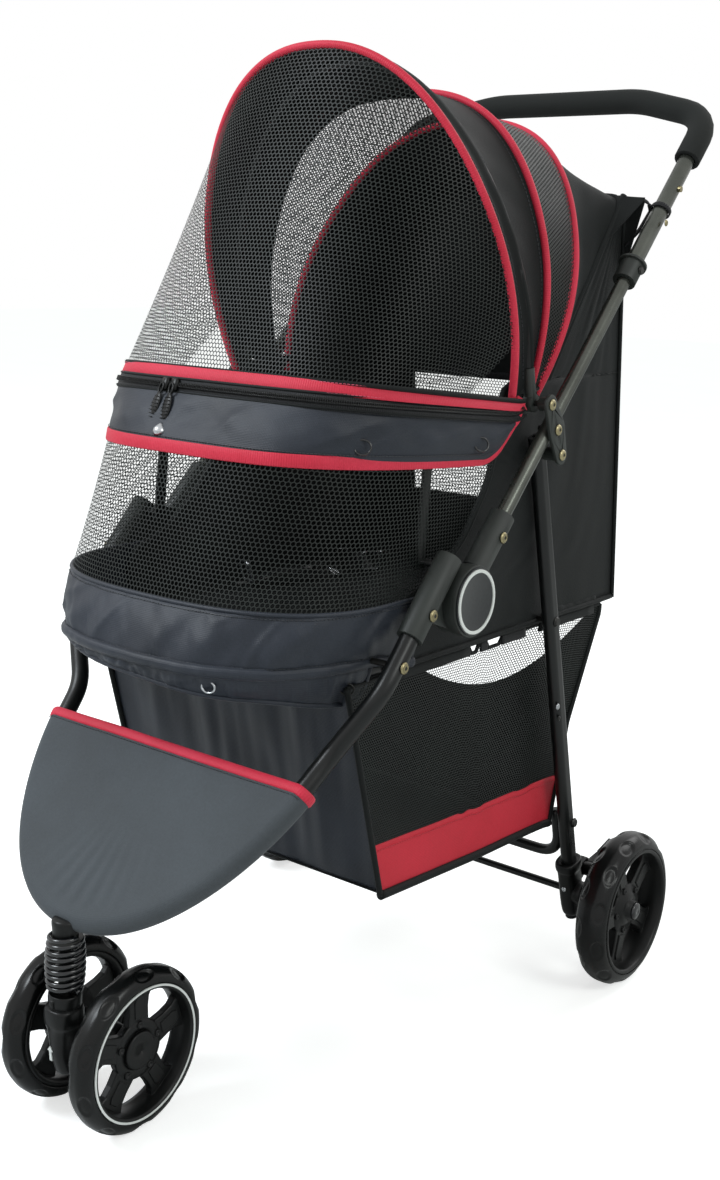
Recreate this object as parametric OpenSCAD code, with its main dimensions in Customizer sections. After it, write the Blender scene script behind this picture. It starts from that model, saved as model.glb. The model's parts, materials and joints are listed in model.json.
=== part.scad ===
// Three-wheel folding pet stroller.
// Side-view points are given as [y, z]: y runs rearwards from the front axle
// and z is the height above the ground.  +X is the stroller's left side.
// fit() moves the finished pieces so that the origin lies under the middle
// of the whole object.

/* [Wheels] */
// Distance from the front axle to the rear axle
wheelbase = 560; // [520:5:620]
// Radius of the two front wheels
front_wheel_r = 76; // [68:1:84]
// Radius of the two rear wheels
rear_wheel_r = 84; // [76:1:92]
// Width of a front tyre
front_tyre_w = 28; // [24:1:32]
// Width of a rear tyre
rear_tyre_w = 36; // [30:1:40]
// Distance between the middles of the front tyres
front_track = 90; // [86:1:104]
// Distance between the middles of the rear tyres
rear_track = 482; // [470:2:520]
// Radius of the rear axle rod
rear_axle_r = 4; // [3:0.5:5]
// Radius of the front axle
front_axle_r = 4; // [3:0.5:5]

/* [Handle] */
// Distance between the two handle tubes, middle to middle
handle_track = 398; // [380:2:420]
// Height of the hub pivots
hub_z = 477; // [460:1:495]
// Distance of the hub pivots behind the front axle
hub_y = 262; // [250:1:275]
// Slope of the handle tubes
handle_slope = 45.7; // [43:0.1:48]
// Distance from hub pivot to hand grip, along the tube
handle_len = 708; // [690:2:780]
// Diameter of the lower handle tubes
handle_tube_d = 15; // [13:0.5:16]
// Diameter of the handle bow
bow_tube_d = 18; // [16:0.5:20]
// Diameter of the foam grip
grip_d = 29; // [26:0.5:33]
// Wall of all the frame tubes
tube_wall = 1.5; // [1:0.1:2]

/* [Front frame] */
// Diameter of the front tube
front_tube_d = 18; // [16:0.5:20]
// Slope of the front tube at the hub
front_slope = 48.3; // [46:0.1:50]
// Gap between the front tube and the hub's outer disc
hub_clear = 0.4; // [0.4:0.2:3]
// Half width of the front bow
front_bow_x = 162; // [152:1:170]
// Height where the front bow starts
bow_z = 348; // [340:1:356]
// Distance of the swivel axis in front of the front axle
trail = 45; // [38:1:50]

/* [Cabin] */
// Height of the floor tube
floor_z = 416; // [410:1:424]
// Half width of the floor tube
floor_x = 157; // [150:0.5:158]
// Distance of the floor tube's rear bar behind the front axle
floor_rear = 630; // [620:1:636]
// Height of the tub band around the front of the floor
tub_h = 65; // [50:1:75]
// Thickness of the fabric walls
fabric_t = 2.5; // [1.5:0.1:3]
// Travel of the front suspension
spring_travel = 12; // [8:1:14]

/* [Hidden] */
$fn = 48;

run = 0.05;         // radial clearance of a running fit
gap = 0.4;          // clearance between fabric and its neighbours
sides = 8;          // sides of a swept wire
steps = 28;         // steps along an arch or a wall

handle_x = handle_track / 2;
hub = [hub_y, hub_z];
along = [cos(handle_slope), sin(handle_slope)];
bar = hub + along * handle_len;
bow_corner_r = 50;
bow_shoulder_r = 120;
bow_drop = 34;      // how far the bow's corners lie below its middle
bow_flat = 100;     // half width of the straight middle, before its bends
grip_s = 602;       // where the foam begins, along the handle
y_shift = -(bar[0] + grip_d / 2 - front_wheel_r) / 2;

// Rear legs
pivot_b = hub + along * 198 - [-sin(handle_slope), cos(handle_slope)] * 26;
axle_y = wheelbase;
axle_z = rear_wheel_r;
leg_x_top = 183 + handle_x - 199;
leg_x_foot = 177 + handle_x - 199;
leg_w = 20;
leg_t = 14;
foot_bottom = axle_z - 40;
foot_top = axle_z + 22;
foot_w = 32;
foot_x0 = leg_x_foot - 11;
foot_x1 = leg_x_foot + 11;
rear_wheel_x = rear_track / 2;
front_wheel_x = front_track / 2;
cross_bar_d = 12;
cross_bar_x = leg_x_foot - leg_t / 2 - cross_bar_d / 2 - 1;
cross_bar_z = axle_z + 40;
cross_top_z = axle_z + 98;
screw_r = 3;

// Hub and front frame
front_dir = [cos(front_slope), sin(front_slope)];
hub_r = 34;
hub_offset = hub_r + front_tube_d / 2 + hub_clear;
front_foot = hub + [-front_dir[1], front_dir[0]] * hub_offset;
front_bend = front_foot - front_dir * 128;
pivot_s = front_foot - front_dir * 100;
hub_face = handle_x + 4;
sleeve_d = 25;
nose_y = -trail + 7;
nose_z = 2 * front_wheel_r + 49.5;
bow_y = 118;
bow_depth = norm([bow_y - nose_y, bow_z - nose_z]);
bow_dir = [bow_y - nose_y, bow_z - nose_z] / bow_depth;
cover_drop = 38;
stem_r = 6;
spring_r = 20;
spring_top = nose_z - 16.5;
spring_bottom = front_wheel_r + 48;
stem_bottom = front_wheel_r + 8;

// Canopy: each arch is [half width, y, z, height, lean, side power, top power, foot width share]
pivot_c = hub + along * 217.3 + [-sin(handle_slope), cos(handle_slope)] * 28.5;
arch_a = [203, 364.5, 664, 343, 106.9, 2.23, 2.22, 0.90];
arch_m = [194, 386, 688, 303, 102, 2, 1.91, 0.96];
arch_b = [189, 418, 672, 287, 91.2, 2.72, 2.46, 0.90];
arch_c = [189.5, 440, 664, 299.5, 69.2, 2.53, 2.17, 0.89];
arch_d = [164, 452, 652, 264, 54, 8, 9, 1];
wire_a = 3.5;
wire_b = 3;
wire_m = 5;
// Walls round the front: [half width, rear end y, depth, side power, front power, side z, front z]
plan_low = [floor_x + 11, 206, 179, 2.6, 2.6, floor_z - 1, floor_z - 1];
plan_tub = [floor_x + 21, 190, 142, 2.6, 2.6, floor_z - 1 + tub_h, floor_z - 1 + tub_h];
plan_belt = [180, 294, 206, 3.6, 2.7, 595, 607];
plan_top = [186, 366, 232, 4.4, 3.6, 654, 686];
plan_rail = [176, 372, 226, 4.2, 3.4, 650, 668];

function lerp(a, b, u) = a + (b - a) * u;
function unit(v) = v / norm(v);
function clip(v) = max(0, min(1, v));
function power(v, p) = sign(v) * pow(abs(v), p);
function arch_point(a, t) =
  let (s = a[3] * power(sin(t), 2 / a[6]))
  [a[0] * power(cos(t), 2 / a[5]) * (1 - (1 - a[7]) * pow(clip(1 - s / (a[3] / 2)), 2)),
   a[1] + s * cos(a[4]),
   a[2] + s * sin(a[4])];
function arch_curve(a, t0 = 0, t1 = 180) = [for (i = [0:steps]) arch_point(a, lerp(t0, t1, i / steps))];
function plan_point(p, t) =
  let (s = power(sin(t), 2 / p[4]))
  [p[0] * power(cos(t), 2 / p[3]), p[1] - p[2] * s, lerp(p[5], p[6], s)];
function plan_curve(p, t0 = 0, t1 = 180) = [for (i = [0:steps]) plan_point(p, lerp(t0, t1, i / steps))];
function leg_y(z) = lerp(pivot_b[0], axle_y, (pivot_b[1] - z) / (pivot_b[1] - axle_z));
function leg_x(z) = lerp(leg_x_top, leg_x_foot, (pivot_b[1] - z) / (pivot_b[1] - axle_z));

module fit() translate([0, y_shift, 0]) children();

// The same piece on both sides
module both() {
  children();
  mirror([1, 0, 0]) children();
}

// Solid round bar between two points
module rod(p, q, d) {
  v = q - p;
  translate(p) rotate([0, acos(v[2] / norm(v)), atan2(v[1], v[0])]) cylinder(h = norm(v), d = d);
}

// Hollow round tube between two points
module tube(p, q, d) {
  over = unit(q - p);
  difference() {
    rod(p, q, d);
    rod(p - over, q + over, d - 2 * tube_wall);
  }
}

// Points with each inner corner rounded to its radius
function round_path(points, radii, k = 6) = [for (i = [0:len(points) - 1])
  if (i == 0 || i == len(points) - 1 || radii[i] == 0) points[i]
  else let (
    a = unit(points[i] - points[i - 1]),
    b = unit(points[i + 1] - points[i]),
    bend = acos(a * b),
    c = points[i] + unit(b - a) * radii[i] / cos(bend / 2),
    x = unit(points[i] - a * radii[i] * tan(bend / 2) - c))
  each [for (q = [0:k]) c + radii[i] * (cos(bend * q / k) * x + sin(bend * q / k) * a)]];

// Bent hollow tube swept along points; side is the direction across the path
module swept_tube(points, r, side, m = 14, wall = tube_wall) {
  n = len(points);
  rings = [for (w = [r, r - wall], i = [0:n - 1])
    let (t = unit(points[min(i + 1, n - 1)] - points[max(i - 1, 0)]), u =
      unit(cross(t, cross(side, t))), v = cross(t, u))
    for (j = [0:m - 1]) points[i] + w * (cos(360 * j / m) * u + sin(360 * j / m) * v)];
  inner = n * m;
  outer_walls = [for (i = [0:n - 2], j = [0:m - 1]) let (q = (j + 1) % m)
    [i * m + j, (i + 1) * m + j, (i + 1) * m + q, i * m + q]];
  inner_walls = [for (f = outer_walls) [f[3] + inner, f[2] + inner, f[1] + inner, f[0] + inner]];
  first = [for (j = [0:m - 1]) let (q = (j + 1) % m) [j, q, q + inner, j + inner]];
  last = [for (j = [0:m - 1]) let (q = (j + 1) % m, e = (n - 1) * m) [e + q, e + j, e + j + inner,
    e + q + inner]];
  polyhedron(points = rings, faces = concat(outer_walls, inner_walls, first, last), convexity = 10);
}

// Bolt along X with a domed head at its outer end
module bolt(p, x0, x1, r, head = 1.9) {
  translate([x0, p[0], p[1]]) rotate([0, 90, 0]) cylinder(h = x1 - x0, r = r);
  translate([x1 - 0.05, p[0], p[1]]) rotate([0, 90, 0])
    cylinder(h = 2.2, r1 = r * head, r2 = r * head * 0.7);
}

// Round bar along X
module x_bar(p, x0, x1, r) translate([x0, p[0], p[1]]) rotate([0, 90, 0]) cylinder(h = x1 - x0, r = r);

// Wire swept along points; side is the direction across the path
module wire(points, r, side) {
  n = len(points);
  rings = [for (i = [0:n - 1])
    let (t = unit(points[min(i + 1, n - 1)] - points[max(i - 1, 0)]), u =
      unit(cross(t, cross(side, t))), v = cross(t, u))
    for (j = [0:sides - 1]) points[i] + r * (cos(360 * j / sides) * u + sin(360 * j / sides) * v)];
  walls = [for (i = [0:n - 2], j = [0:sides - 1])
    [i * sides + j, (i + 1) * sides + j, (i + 1) * sides + (j + 1) % sides, i * sides + (j + 1) % sides]];
  first = [for (j = [0:sides - 1]) j];
  last = [for (j = [0:sides - 1]) (n - 1) * sides + sides - 1 - j];
  polyhedron(points = rings, faces = concat(walls, [first, last]), convexity = 10);
}

// Fabric wall between two curves, its thickness laid towards a centre.
// from and to are the margins left along the two curves.
module skin(low, high, from, to, centre, t = fabric_t, rows = 3) {
  n = len(low);
  outer = [for (j = [0:rows], i = [0:n - 1])
    let (d = unit(high[i] - low[i])) lerp(low[i] + d * from, high[i] - d * to, j / rows)];
  inner = [for (p = outer) p - unit(p - [0, centre[0], centre[1]]) * t];
  m = n * (rows + 1);
  face = [for (j = [0:rows - 1], i = [0:n - 2]) [j * n + i, j * n + i + 1, (j + 1) * n + i + 1,
    (j + 1) * n + i]];
  back = [for (f = face) [f[3] + m, f[2] + m, f[1] + m, f[0] + m]];
  bottom = [for (i = [0:n - 2]) [i + 1, i, i + m, i + 1 + m]];
  top = [for (i = [0:n - 2]) [rows * n + i, rows * n + i + 1, rows * n + i + 1 + m, rows * n + i + m]];
  start = [for (j = [0:rows - 1]) [j * n, (j + 1) * n, (j + 1) * n + m, j * n + m]];
  end = [for (j = [0:rows - 1]) [(j + 1) * n + n - 1, j * n + n - 1, j * n + n - 1 + m,
    (j + 1) * n + n - 1 + m]];
  polyhedron(points = concat(outer, inner), faces = concat(face, back, bottom, top, start, end),
    convexity = 10);
}

// Plate cut from a side-view outline, between two X planes
module side_plate(outline, x0, x1)
  translate([x0, 0, 0]) rotate([90, 0, 90]) linear_extrude(height = x1 - x0) polygon(outline);

// ---------------------------------------------------------------- rear legs

module leg_profile() {
  square([leg_t, leg_w - leg_t], center = true);
  for (s = [-1, 1]) translate([0, s * (leg_w - leg_t) / 2]) circle(d = leg_t);
}

// Children are laid along the left leg, up from its lower end
module along_leg() {
  splay = atan2(leg_x_top - leg_x_foot, pivot_b[1] - axle_z);
  lean = atan2(axle_y - pivot_b[0], norm([leg_x_top - leg_x_foot, pivot_b[1] - axle_z]));
  z = foot_bottom + 8;
  translate([leg_x(z), leg_y(z), z]) rotate([0, splay, 0]) rotate([lean, 0, 0]) children();
}
leg_len = norm([leg_y(foot_bottom + 8) - pivot_b[0], pivot_b[1] - foot_bottom - 8]) + 17;

// Oval steel tube from the side bracket down to the axle foot
module rear_leg() color("#17181a") difference() {
  along_leg() linear_extrude(height = leg_len) leg_profile();
  along_leg() translate([0, 0, -1]) linear_extrude(height = leg_len + 2)
    square([leg_t - 2 * tube_wall, leg_w - leg_t], center = true);
  x_bar(pivot_b, leg_x_top - leg_t, leg_x_top + leg_t, screw_r + run);
  x_bar([leg_y(floor_z), floor_z], leg_x_top - 2 * leg_t, leg_x_top + leg_t, screw_r + run);
  x_bar([axle_y, axle_z], leg_x_foot - leg_t, leg_x_foot + leg_t, rear_axle_r + run);
  x_bar([leg_y(cross_top_z - 10) + 5, cross_top_z - 10], leg_x_foot - leg_t, leg_x_foot + leg_t,
    screw_r + run);
}
module rear_leg_left() rear_leg();
module rear_leg_right() mirror([1, 0, 0]) rear_leg();

// U-shaped bar that ties the two legs above the axle
module rear_cross_bar() {
  top = [cross_bar_x, leg_y(cross_top_z) + 5, cross_top_z];
  low = [cross_bar_x, leg_y(cross_bar_z) + 5, cross_bar_z];
  bolt_at = [leg_y(cross_top_z - 10) + 5, cross_top_z - 10];
  corners = [top, low, [-low[0], low[1], low[2]], [-top[0], top[1], top[2]]];
  color("#141517") difference() {
    swept_tube(round_path(corners, [0, 26, 26, 0]), cross_bar_d / 2, [0, 1, 0.4]);
    both() x_bar(bolt_at, cross_bar_x - 9, cross_bar_x + 9, screw_r + run);
  }
}

// Plastic foot that holds the leg, the axle and the brake pedal's pin
module axle_feet() color("#101113") both() difference() {
  union() {
    side_plate([[axle_y - foot_w / 2, foot_bottom], [axle_y + foot_w / 2 - 4, foot_bottom],
      [axle_y + foot_w / 2, foot_top - 8], [axle_y + foot_w / 2 - 8, foot_top],
        [leg_y(foot_top) - 14, foot_top]],
      foot_x0, foot_x1);
    side_plate([[axle_y + 10, axle_z - 4], [axle_y + 42, axle_z + 14], [axle_y + 42, axle_z + 26],
      [axle_y + 10, foot_top]],
      foot_x0, foot_x0 + 9);
    x_bar([axle_y, axle_z], foot_x1 - 1, rear_wheel_x - rear_tyre_w / 2 - 32, 13);
  }
  along_leg() linear_extrude(height = 120) {
    square([leg_t + 2 * run, leg_w - leg_t], center = true);
    for (s = [-1, 1]) translate([0, s * (leg_w - leg_t) / 2]) circle(d = leg_t + 2 * run);
  }
  x_bar([axle_y, axle_z], foot_x0 - 1, rear_wheel_x, rear_axle_r + run);
  x_bar([axle_y + 32, axle_z + 16], foot_x0 - 1, foot_x1, screw_r + run);
}

// Rod through both feet and both rear wheels, with pressed end caps
module rear_axle() color("#8d9094") {
  x_bar([axle_y, axle_z], -(rear_wheel_x + rear_tyre_w / 2 - 6), rear_wheel_x + rear_tyre_w / 2 - 6,
    rear_axle_r);
  both() x_bar([axle_y, axle_z], rear_wheel_x + rear_tyre_w / 2 - 7, rear_wheel_x + rear_tyre_w / 2 - 3, 8);
}

// Pivot bolts of the floor tube, bolts of the cross bar and foot rivets
module leg_screws() color("#b9ad83") both() {
  bolt([leg_y(floor_z), floor_z], floor_x - 9, leg_x(floor_z) + leg_t / 2 + 0.3, screw_r);
  bolt([leg_y(cross_top_z - 10) + 5, cross_top_z - 10], cross_bar_x - 8,
    leg_x(cross_top_z) + leg_t / 2 + 0.3, screw_r);
  x_bar([axle_y + 32, axle_z + 16], foot_x0 - 3, foot_x0 + 24, screw_r);
}

// Foot lever that swings on the pin behind the axle foot
module brake_pedal() {
  pin = [axle_y + 32, axle_z + 16];
  color("#1b1c1f") difference() {
    union() {
      x_bar(pin, foot_x0 + 9.4, foot_x0 + 21, 8);
      side_plate([[pin[0] - 2, pin[1] - 7], [pin[0] + 50, pin[1] + 6], [pin[0] + 52, pin[1] + 14],
        [pin[0] + 4, pin[1] + 8]], foot_x0 + 9.4, foot_x0 + 21);
      side_plate([[pin[0] + 30, pin[1] + 6], [pin[0] + 58, pin[1] + 13], [pin[0] + 57, pin[1] + 19],
        [pin[0] + 29, pin[1] + 12]], foot_x0 + 9.4, foot_x0 + 40);
    }
    x_bar(pin, foot_x0, foot_x0 + 40, screw_r + run);
  }
}
module brake_pedal_left() brake_pedal();
module brake_pedal_right() mirror([1, 0, 0]) brake_pedal();

// ------------------------------------------------------------------- wheels

// Foam tyre with round shoulders, its axis along X
module tyre(r, r_in, w) {
  c = w * 0.3;
  color("#121314") rotate([0, 90, 0]) rotate_extrude($fn = 96) difference() {
    union() {
      translate([r_in, -w / 2]) square([r - r_in - c, w]);
      translate([r_in, -w / 2 + c]) square([r - r_in, w - 2 * c]);
      for (s = [-1, 1]) translate([r - c, s * (w / 2 - c)]) circle(r = c);
    }
    translate([0, -w]) square([r_in, 2 * w]);
  }
}

// Six-spoke rim with a long hub; hub_in reaches towards the frame
module rim(r, w, bore, hub_in) {
  color("#1a1b1e") rotate([0, 90, 0]) difference() {
    union() {
      difference() {
        translate([0, 0, -w / 2 + 1]) cylinder(h = w - 2, r = r, $fn = 96);
        translate([0, 0, -w / 2]) cylinder(h = w, r = r - 5, $fn = 96);
      }
      translate([0, 0, -w / 2 - hub_in]) cylinder(h = w + hub_in, r = 13);
      for (i = [0:5]) rotate([0, 0, 60 * i]) translate([0, 0, -w * 0.2]) linear_extrude(height = w * 0.5)
        polygon([[8, -7], [r - 3, -11], [r - 3, 11], [8, 7]]);
      translate([0, 0, -w * 0.2]) cylinder(h = w * 0.55, r = 20);
    }
    translate([0, 0, -w - hub_in]) cylinder(h = 2 * w + hub_in, r = bore);
  }
}

rear_rim_r = rear_wheel_r - 14;
front_rim_r = front_wheel_r - 15;
module at_rear() translate([rear_wheel_x, axle_y, axle_z]) children();
module at_front() translate([front_wheel_x, 0, front_wheel_r]) children();
module rear_rim() difference() {
  at_rear() rim(rear_rim_r - gap / 4, rear_tyre_w, rear_axle_r + run, 30);
  x_bar([axle_y, axle_z], rear_wheel_x + rear_tyre_w / 2 - 8, rear_wheel_x + rear_tyre_w, 9);
}
module front_rim() difference() {
  at_front() rim(front_rim_r - gap / 4, front_tyre_w, front_axle_r + run, 3);
  x_bar([0, front_wheel_r], front_wheel_x + front_tyre_w / 2 - 7, front_wheel_x + front_tyre_w, 9);
}
module rear_tyre_left() at_rear() tyre(rear_wheel_r, rear_rim_r, rear_tyre_w);
module rear_tyre_right() mirror([1, 0, 0]) rear_tyre_left();
module rear_rim_left() rear_rim();
module rear_rim_right() mirror([1, 0, 0]) rear_rim();
module front_tyre_left() at_front() tyre(front_wheel_r, front_rim_r, front_tyre_w);
module front_tyre_right() mirror([1, 0, 0]) front_tyre_left();
module front_rim_left() front_rim();
module front_rim_right() mirror([1, 0, 0]) front_rim();

// ------------------------------------------------------------------- handle

function on_handle(s) = [handle_x, hub[0] + along[0] * s, hub[1] + along[1] * s];
collar_s = 414;
bracket_s = 209;
collar_h = 27;

module handle_tube() color("#3c3f42") difference() {
  tube(on_handle(37), on_handle(collar_s + 14), handle_tube_d);
  x_bar([on_handle(74)[1], on_handle(74)[2]], 0, 2 * handle_x, screw_r + run);
  x_bar([on_handle(bracket_s)[1], on_handle(bracket_s)[2]], 0, 2 * handle_x, screw_r + run);
}
module handle_tube_left() handle_tube();
module handle_tube_right() mirror([1, 0, 0]) handle_tube();

// Bow of tube from collar to collar, laid in the plane of the handle
module bow_path(d, d_in, s0) {
  corners = [[handle_x, s0], [handle_x, handle_len - bow_drop], [bow_flat, handle_len],
    [-bow_flat, handle_len], [-handle_x, handle_len - bow_drop], [-handle_x, s0]];
  swept_tube(round_path([for (c = corners) [c[0], on_handle(c[1])[1], on_handle(c[1])[2]]],
    [0, bow_corner_r, bow_shoulder_r, bow_shoulder_r, bow_corner_r, 0]), d / 2,
    [0, -along[1], along[0]], 18, (d - d_in) / 2);
}
button_s = 556;
button_r = 3.4;
module handle_bow() color("#3c3f42") difference() {
  bow_path(bow_tube_d, bow_tube_d - 2 * tube_wall, collar_s + 14.3);
  both() x_bar([on_handle(button_s)[1], on_handle(button_s)[2]], handle_x + 2, handle_x + 20,
    button_r + run);
}
module handle_grip() color("#1d1e20") bow_path(grip_d, bow_tube_d + 0.2, grip_s);

// Spring button that locks the bow; it is pushed in to release it
module handle_button() {
  p = on_handle(button_s);
  color("#a9a9a2") {
    x_bar([p[1], p[2]], handle_x + 3, handle_x + bow_tube_d / 2 + 2.4, button_r);
    x_bar([p[1], p[2]], handle_x - 1.4, handle_x + 3, button_r + 1.6);
  }
}
module handle_button_left() handle_button();
module handle_button_right() mirror([1, 0, 0]) handle_button();

// Flanged collars where the bow plugs on to the lower tubes
module handle_collars() color("#2c2e30") both() difference() {
  union() {
    rod(on_handle(collar_s), on_handle(collar_s + collar_h), 25);
    rod(on_handle(collar_s + collar_h - 3), on_handle(collar_s + collar_h), 31);
  }
  rod(on_handle(collar_s - 1), on_handle(collar_s + 14.15), handle_tube_d + 0.2);
  rod(on_handle(collar_s + 14.15), on_handle(collar_s + collar_h + 1), bow_tube_d + 0.2);
}

// Pressed plate that carries the rear leg below and the canopy arm above
bracket_x = handle_x + handle_tube_d / 2 + 0.5;
module side_brackets() color("#3a3f40") both() difference() {
  union() {
    hull() {
      x_bar(pivot_b, bracket_x, bracket_x + 4, 10);
      x_bar([on_handle(bracket_s)[1], on_handle(bracket_s)[2]], bracket_x, bracket_x + 4, 14);
    }
    hull() {
      x_bar(pivot_c, bracket_x, bracket_x + 4, 10);
      x_bar([on_handle(bracket_s)[1], on_handle(bracket_s)[2]], bracket_x, bracket_x + 4, 14);
    }
    x_bar(pivot_b, leg_x_top + leg_t / 2 + 1.5, bracket_x + 1, 7);
    x_bar(pivot_c, handle_x - 1, bracket_x + 1, 7);
  }
  x_bar(pivot_b, 0, 2 * handle_x, screw_r + run);
  x_bar(pivot_c, 0, 2 * handle_x, screw_r + run);
  x_bar([on_handle(bracket_s)[1], on_handle(bracket_s)[2]], 0, 2 * handle_x, screw_r + run);
}

// Upper half of the fold hub: sleeve on the handle tube and round outer disc
module hub_upper() color("#34383a") difference() {
  union() {
    difference() {
      rod(on_handle(8), on_handle(98), sleeve_d);
      x_bar(hub, handle_x - sleeve_d, hub_face, hub_r + 1);
    }
    x_bar(hub, hub_face, hub_face + 13, hub_r);
  }
  rod(on_handle(36.5), on_handle(100), handle_tube_d + 0.2);
  x_bar(hub, hub_face - 1, hub_face + 9, 4 + run);
  x_bar([on_handle(74)[1], on_handle(74)[2]], 0, 2 * handle_x, screw_r + run);
}
module hub_upper_left() hub_upper();
module hub_upper_right() mirror([1, 0, 0]) hub_upper();

// Plain cap with a raised ring on the outside of each hub
module hub_caps() color("#d8dad8") both() {
  x_bar(hub, hub_face + 13.1, hub_face + 15, hub_r - 2);
  translate([hub_face + 14.9, hub[0], hub[1]]) rotate([0, 90, 0]) rotate_extrude()
    translate([hub_r - 6.5, 0]) square([3, 1.2]);
}

// Bolts of the sleeves, brackets and legs on the handle side
module handle_screws() color("#b9ad83") both() {
  bolt([on_handle(74)[1], on_handle(74)[2]], handle_x - sleeve_d / 2 - 2, handle_x + sleeve_d / 2 + 0.3,
    screw_r);
  bolt([on_handle(bracket_s)[1], on_handle(bracket_s)[2]], handle_x - handle_tube_d / 2 - 2,
    bracket_x + 4.2, screw_r);
  bolt(pivot_b, leg_x_top - leg_t / 2 - 3, bracket_x + 4.2, screw_r);
  bolt(pivot_c, rail_x - 5, bracket_x + 4.2, screw_r);
  translate(on_handle(collar_s + 17)) rotate([0, 90, 0]) translate([0, 0, 12.7])
    cylinder(h = 2, r1 = 5, r2 = 3.5);
}

// --------------------------------------------------------------------- belt

rail_x = plan_rail[0];
// Wire hoop inside the belt, carried by the canopy pivot bolts
module belt_rail() color("#26282a") {
  wire(plan_curve(plan_rail), 4, [0, 0.05, 1]);
  both() difference() {
    union() {
      x_bar(pivot_c, rail_x - 4, rail_x + 4, 8);
      rod([rail_x, plan_rail[1] - 2, plan_rail[5]], [rail_x, pivot_c[0] - 4, pivot_c[1]], 8);
    }
    x_bar(pivot_c, rail_x - 6, rail_x + 6, screw_r + run);
  }
}

// Flat struts that stand beside the hub's lower sleeve and hold up the hoop
module belt_struts() color("#2b2d2f") both() {
  foot = [on_front(8)[1], on_front(8)[2]];
  side_plate([[foot[0] - 7, foot[1] - 7], [foot[0] + 7, foot[1] - 7], [foot[0] + 16, plan_rail[5] + 5.3],
    [foot[0] + 5, plan_rail[5] + 5.3]], 168.6, 171.4);
  x_bar(foot, 171.3, handle_x - sleeve_d / 2 - 0.3, 3.5);
}

// Fabric belt round the front of the cabin
module belt_band() color("#262a36") skin(plan_curve(plan_belt), plan_curve(plan_top), 0, 0, [330, 630]);

// Slider and leaf-shaped pull on the belt's zip; it lies on the belt
zip_t = 95;
zip_u = 0.8;
function belt_at(t, u) = lerp(plan_point(plan_belt, t), plan_point(plan_top, t), u);
module zip_pull() {
  at = belt_at(zip_t, zip_u);
  x = unit(belt_at(zip_t - 1, zip_u) - belt_at(zip_t + 1, zip_u));
  y = unit(cross(belt_at(zip_t, 1) - belt_at(zip_t, 0), x));
  z = cross(x, y);
  color("#0e0f10") multmatrix([[x[0], y[0], z[0], at[0]], [x[1], y[1], z[1], at[1]],
    [x[2], y[2], z[2], at[2]]])
    translate([0, -2.9, 0]) {
      x_bar([0, 0], -4, 4, 2.5);
      translate([-2.5, -1.2, -8]) cube([5, 2.4, 8]);
      translate([0, 1.2, -22]) rotate([90, 0, 0]) linear_extrude(height = 2.4)
        polygon([[-3, 15], [3, 15], [5.5, 4], [5.5, -6], [2.5, -14], [-2.5, -14], [-5.5, -6], [-5.5, 4]]);
    }
}

// -------------------------------------------------------------- front frame

function on_front(s) = [handle_x, front_foot[0] + front_dir[0] * s, front_foot[1] + front_dir[1] * s];
function bow_point(x, depth, t) = let (q = depth * power(sin(t), 1.25))
  [x * power(cos(t), 0.95), bow_y - bow_dir[0] * q, bow_z - bow_dir[1] * q];
module front_tube() {
  left = [on_front(5), [handle_x, front_bend[0], front_bend[1]], bow_point(front_bow_x, bow_depth, 0)];
  bow = [for (t = [22:5.44:158.1]) bow_point(front_bow_x, bow_depth, t)];
  right = [for (i = [2:-1:0]) [-left[i][0], left[i][1], left[i][2]]];
  radii = concat([0, 50, 50], [for (q = bow) 0], [50, 50, 0]);
  color("#232527") difference() {
    swept_tube(round_path(concat(left, bow, right), radii), front_tube_d / 2, [0, -bow_dir[1], bow_dir[0]]);
    both() {
      x_bar(pivot_s, handle_x - 20, handle_x + 20, screw_r + run);
      x_bar([on_front(-44)[1], on_front(-44)[2]], handle_x - 20, handle_x + 20, screw_r + run);
    }
  }
}

// Lower half of the fold hub: sleeve on the front tube and inner disc
module hub_lower() color("#34383a") difference() {
  union() {
    x_bar(hub, hub_face - 13, hub_face - 0.4, hub_r - 1);
    rod(on_front(-71), on_front(17), sleeve_d);
    side_plate([[on_front(-50)[1], on_front(-50)[2]], [hub[0] - 8, hub[1] - 30], [hub[0] + 26, hub[1] + 10],
      [on_front(8)[1], on_front(8)[2]]], hub_face - 13, hub_face - 0.4);
  }
  x_bar(hub, hub_face - 0.4, hub_face + 30, hub_r + 1);
  rod(on_front(-72), on_front(5.2), front_tube_d + 0.2);
  x_bar(hub, hub_face - 14, hub_face, 4 + run);
  x_bar([on_front(-44)[1], on_front(-44)[2]], handle_x - 20, handle_x + 20, screw_r + run);
}
module hub_lower_left() hub_lower();
module hub_lower_right() mirror([1, 0, 0]) hub_lower();

// Hub pins, sleeve bolts and the stub bolts beside the floor tube
module front_screws() color("#b9ad83") both() {
  x_bar(hub, hub_face - 15, hub_face + 8, 4);
  bolt([on_front(-44)[1], on_front(-44)[2]], handle_x - sleeve_d / 2 - 2, handle_x + sleeve_d / 2 + 0.3,
    screw_r);
  bolt(pivot_s, floor_x + 16, handle_x + front_tube_d / 2 + 0.3, screw_r);
}

// Fabric apron that spans the front bow
module front_cover() {
  lift = [0, -bow_dir[1], bow_dir[0]] * (front_tube_d / 2 + 0.4);
  outline = [for (t = [0:4.5:180]) let (q = bow_point(front_bow_x + 10, bow_depth + 9, t))
    [q[0], (q[1] - bow_y) / bow_dir[0]]];
  color("#3d4247") translate([0, bow_y, bow_z] + lift) rotate([atan2(bow_dir[1], bow_dir[0]), 0, 0])
    difference() {
    linear_extrude(height = fabric_t * 2) polygon(outline);
    translate([-front_bow_x * 1.2, -cover_drop, -1]) cube([front_bow_x * 2.4, cover_drop * 2, fabric_t * 4]);
  }
}

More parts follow.
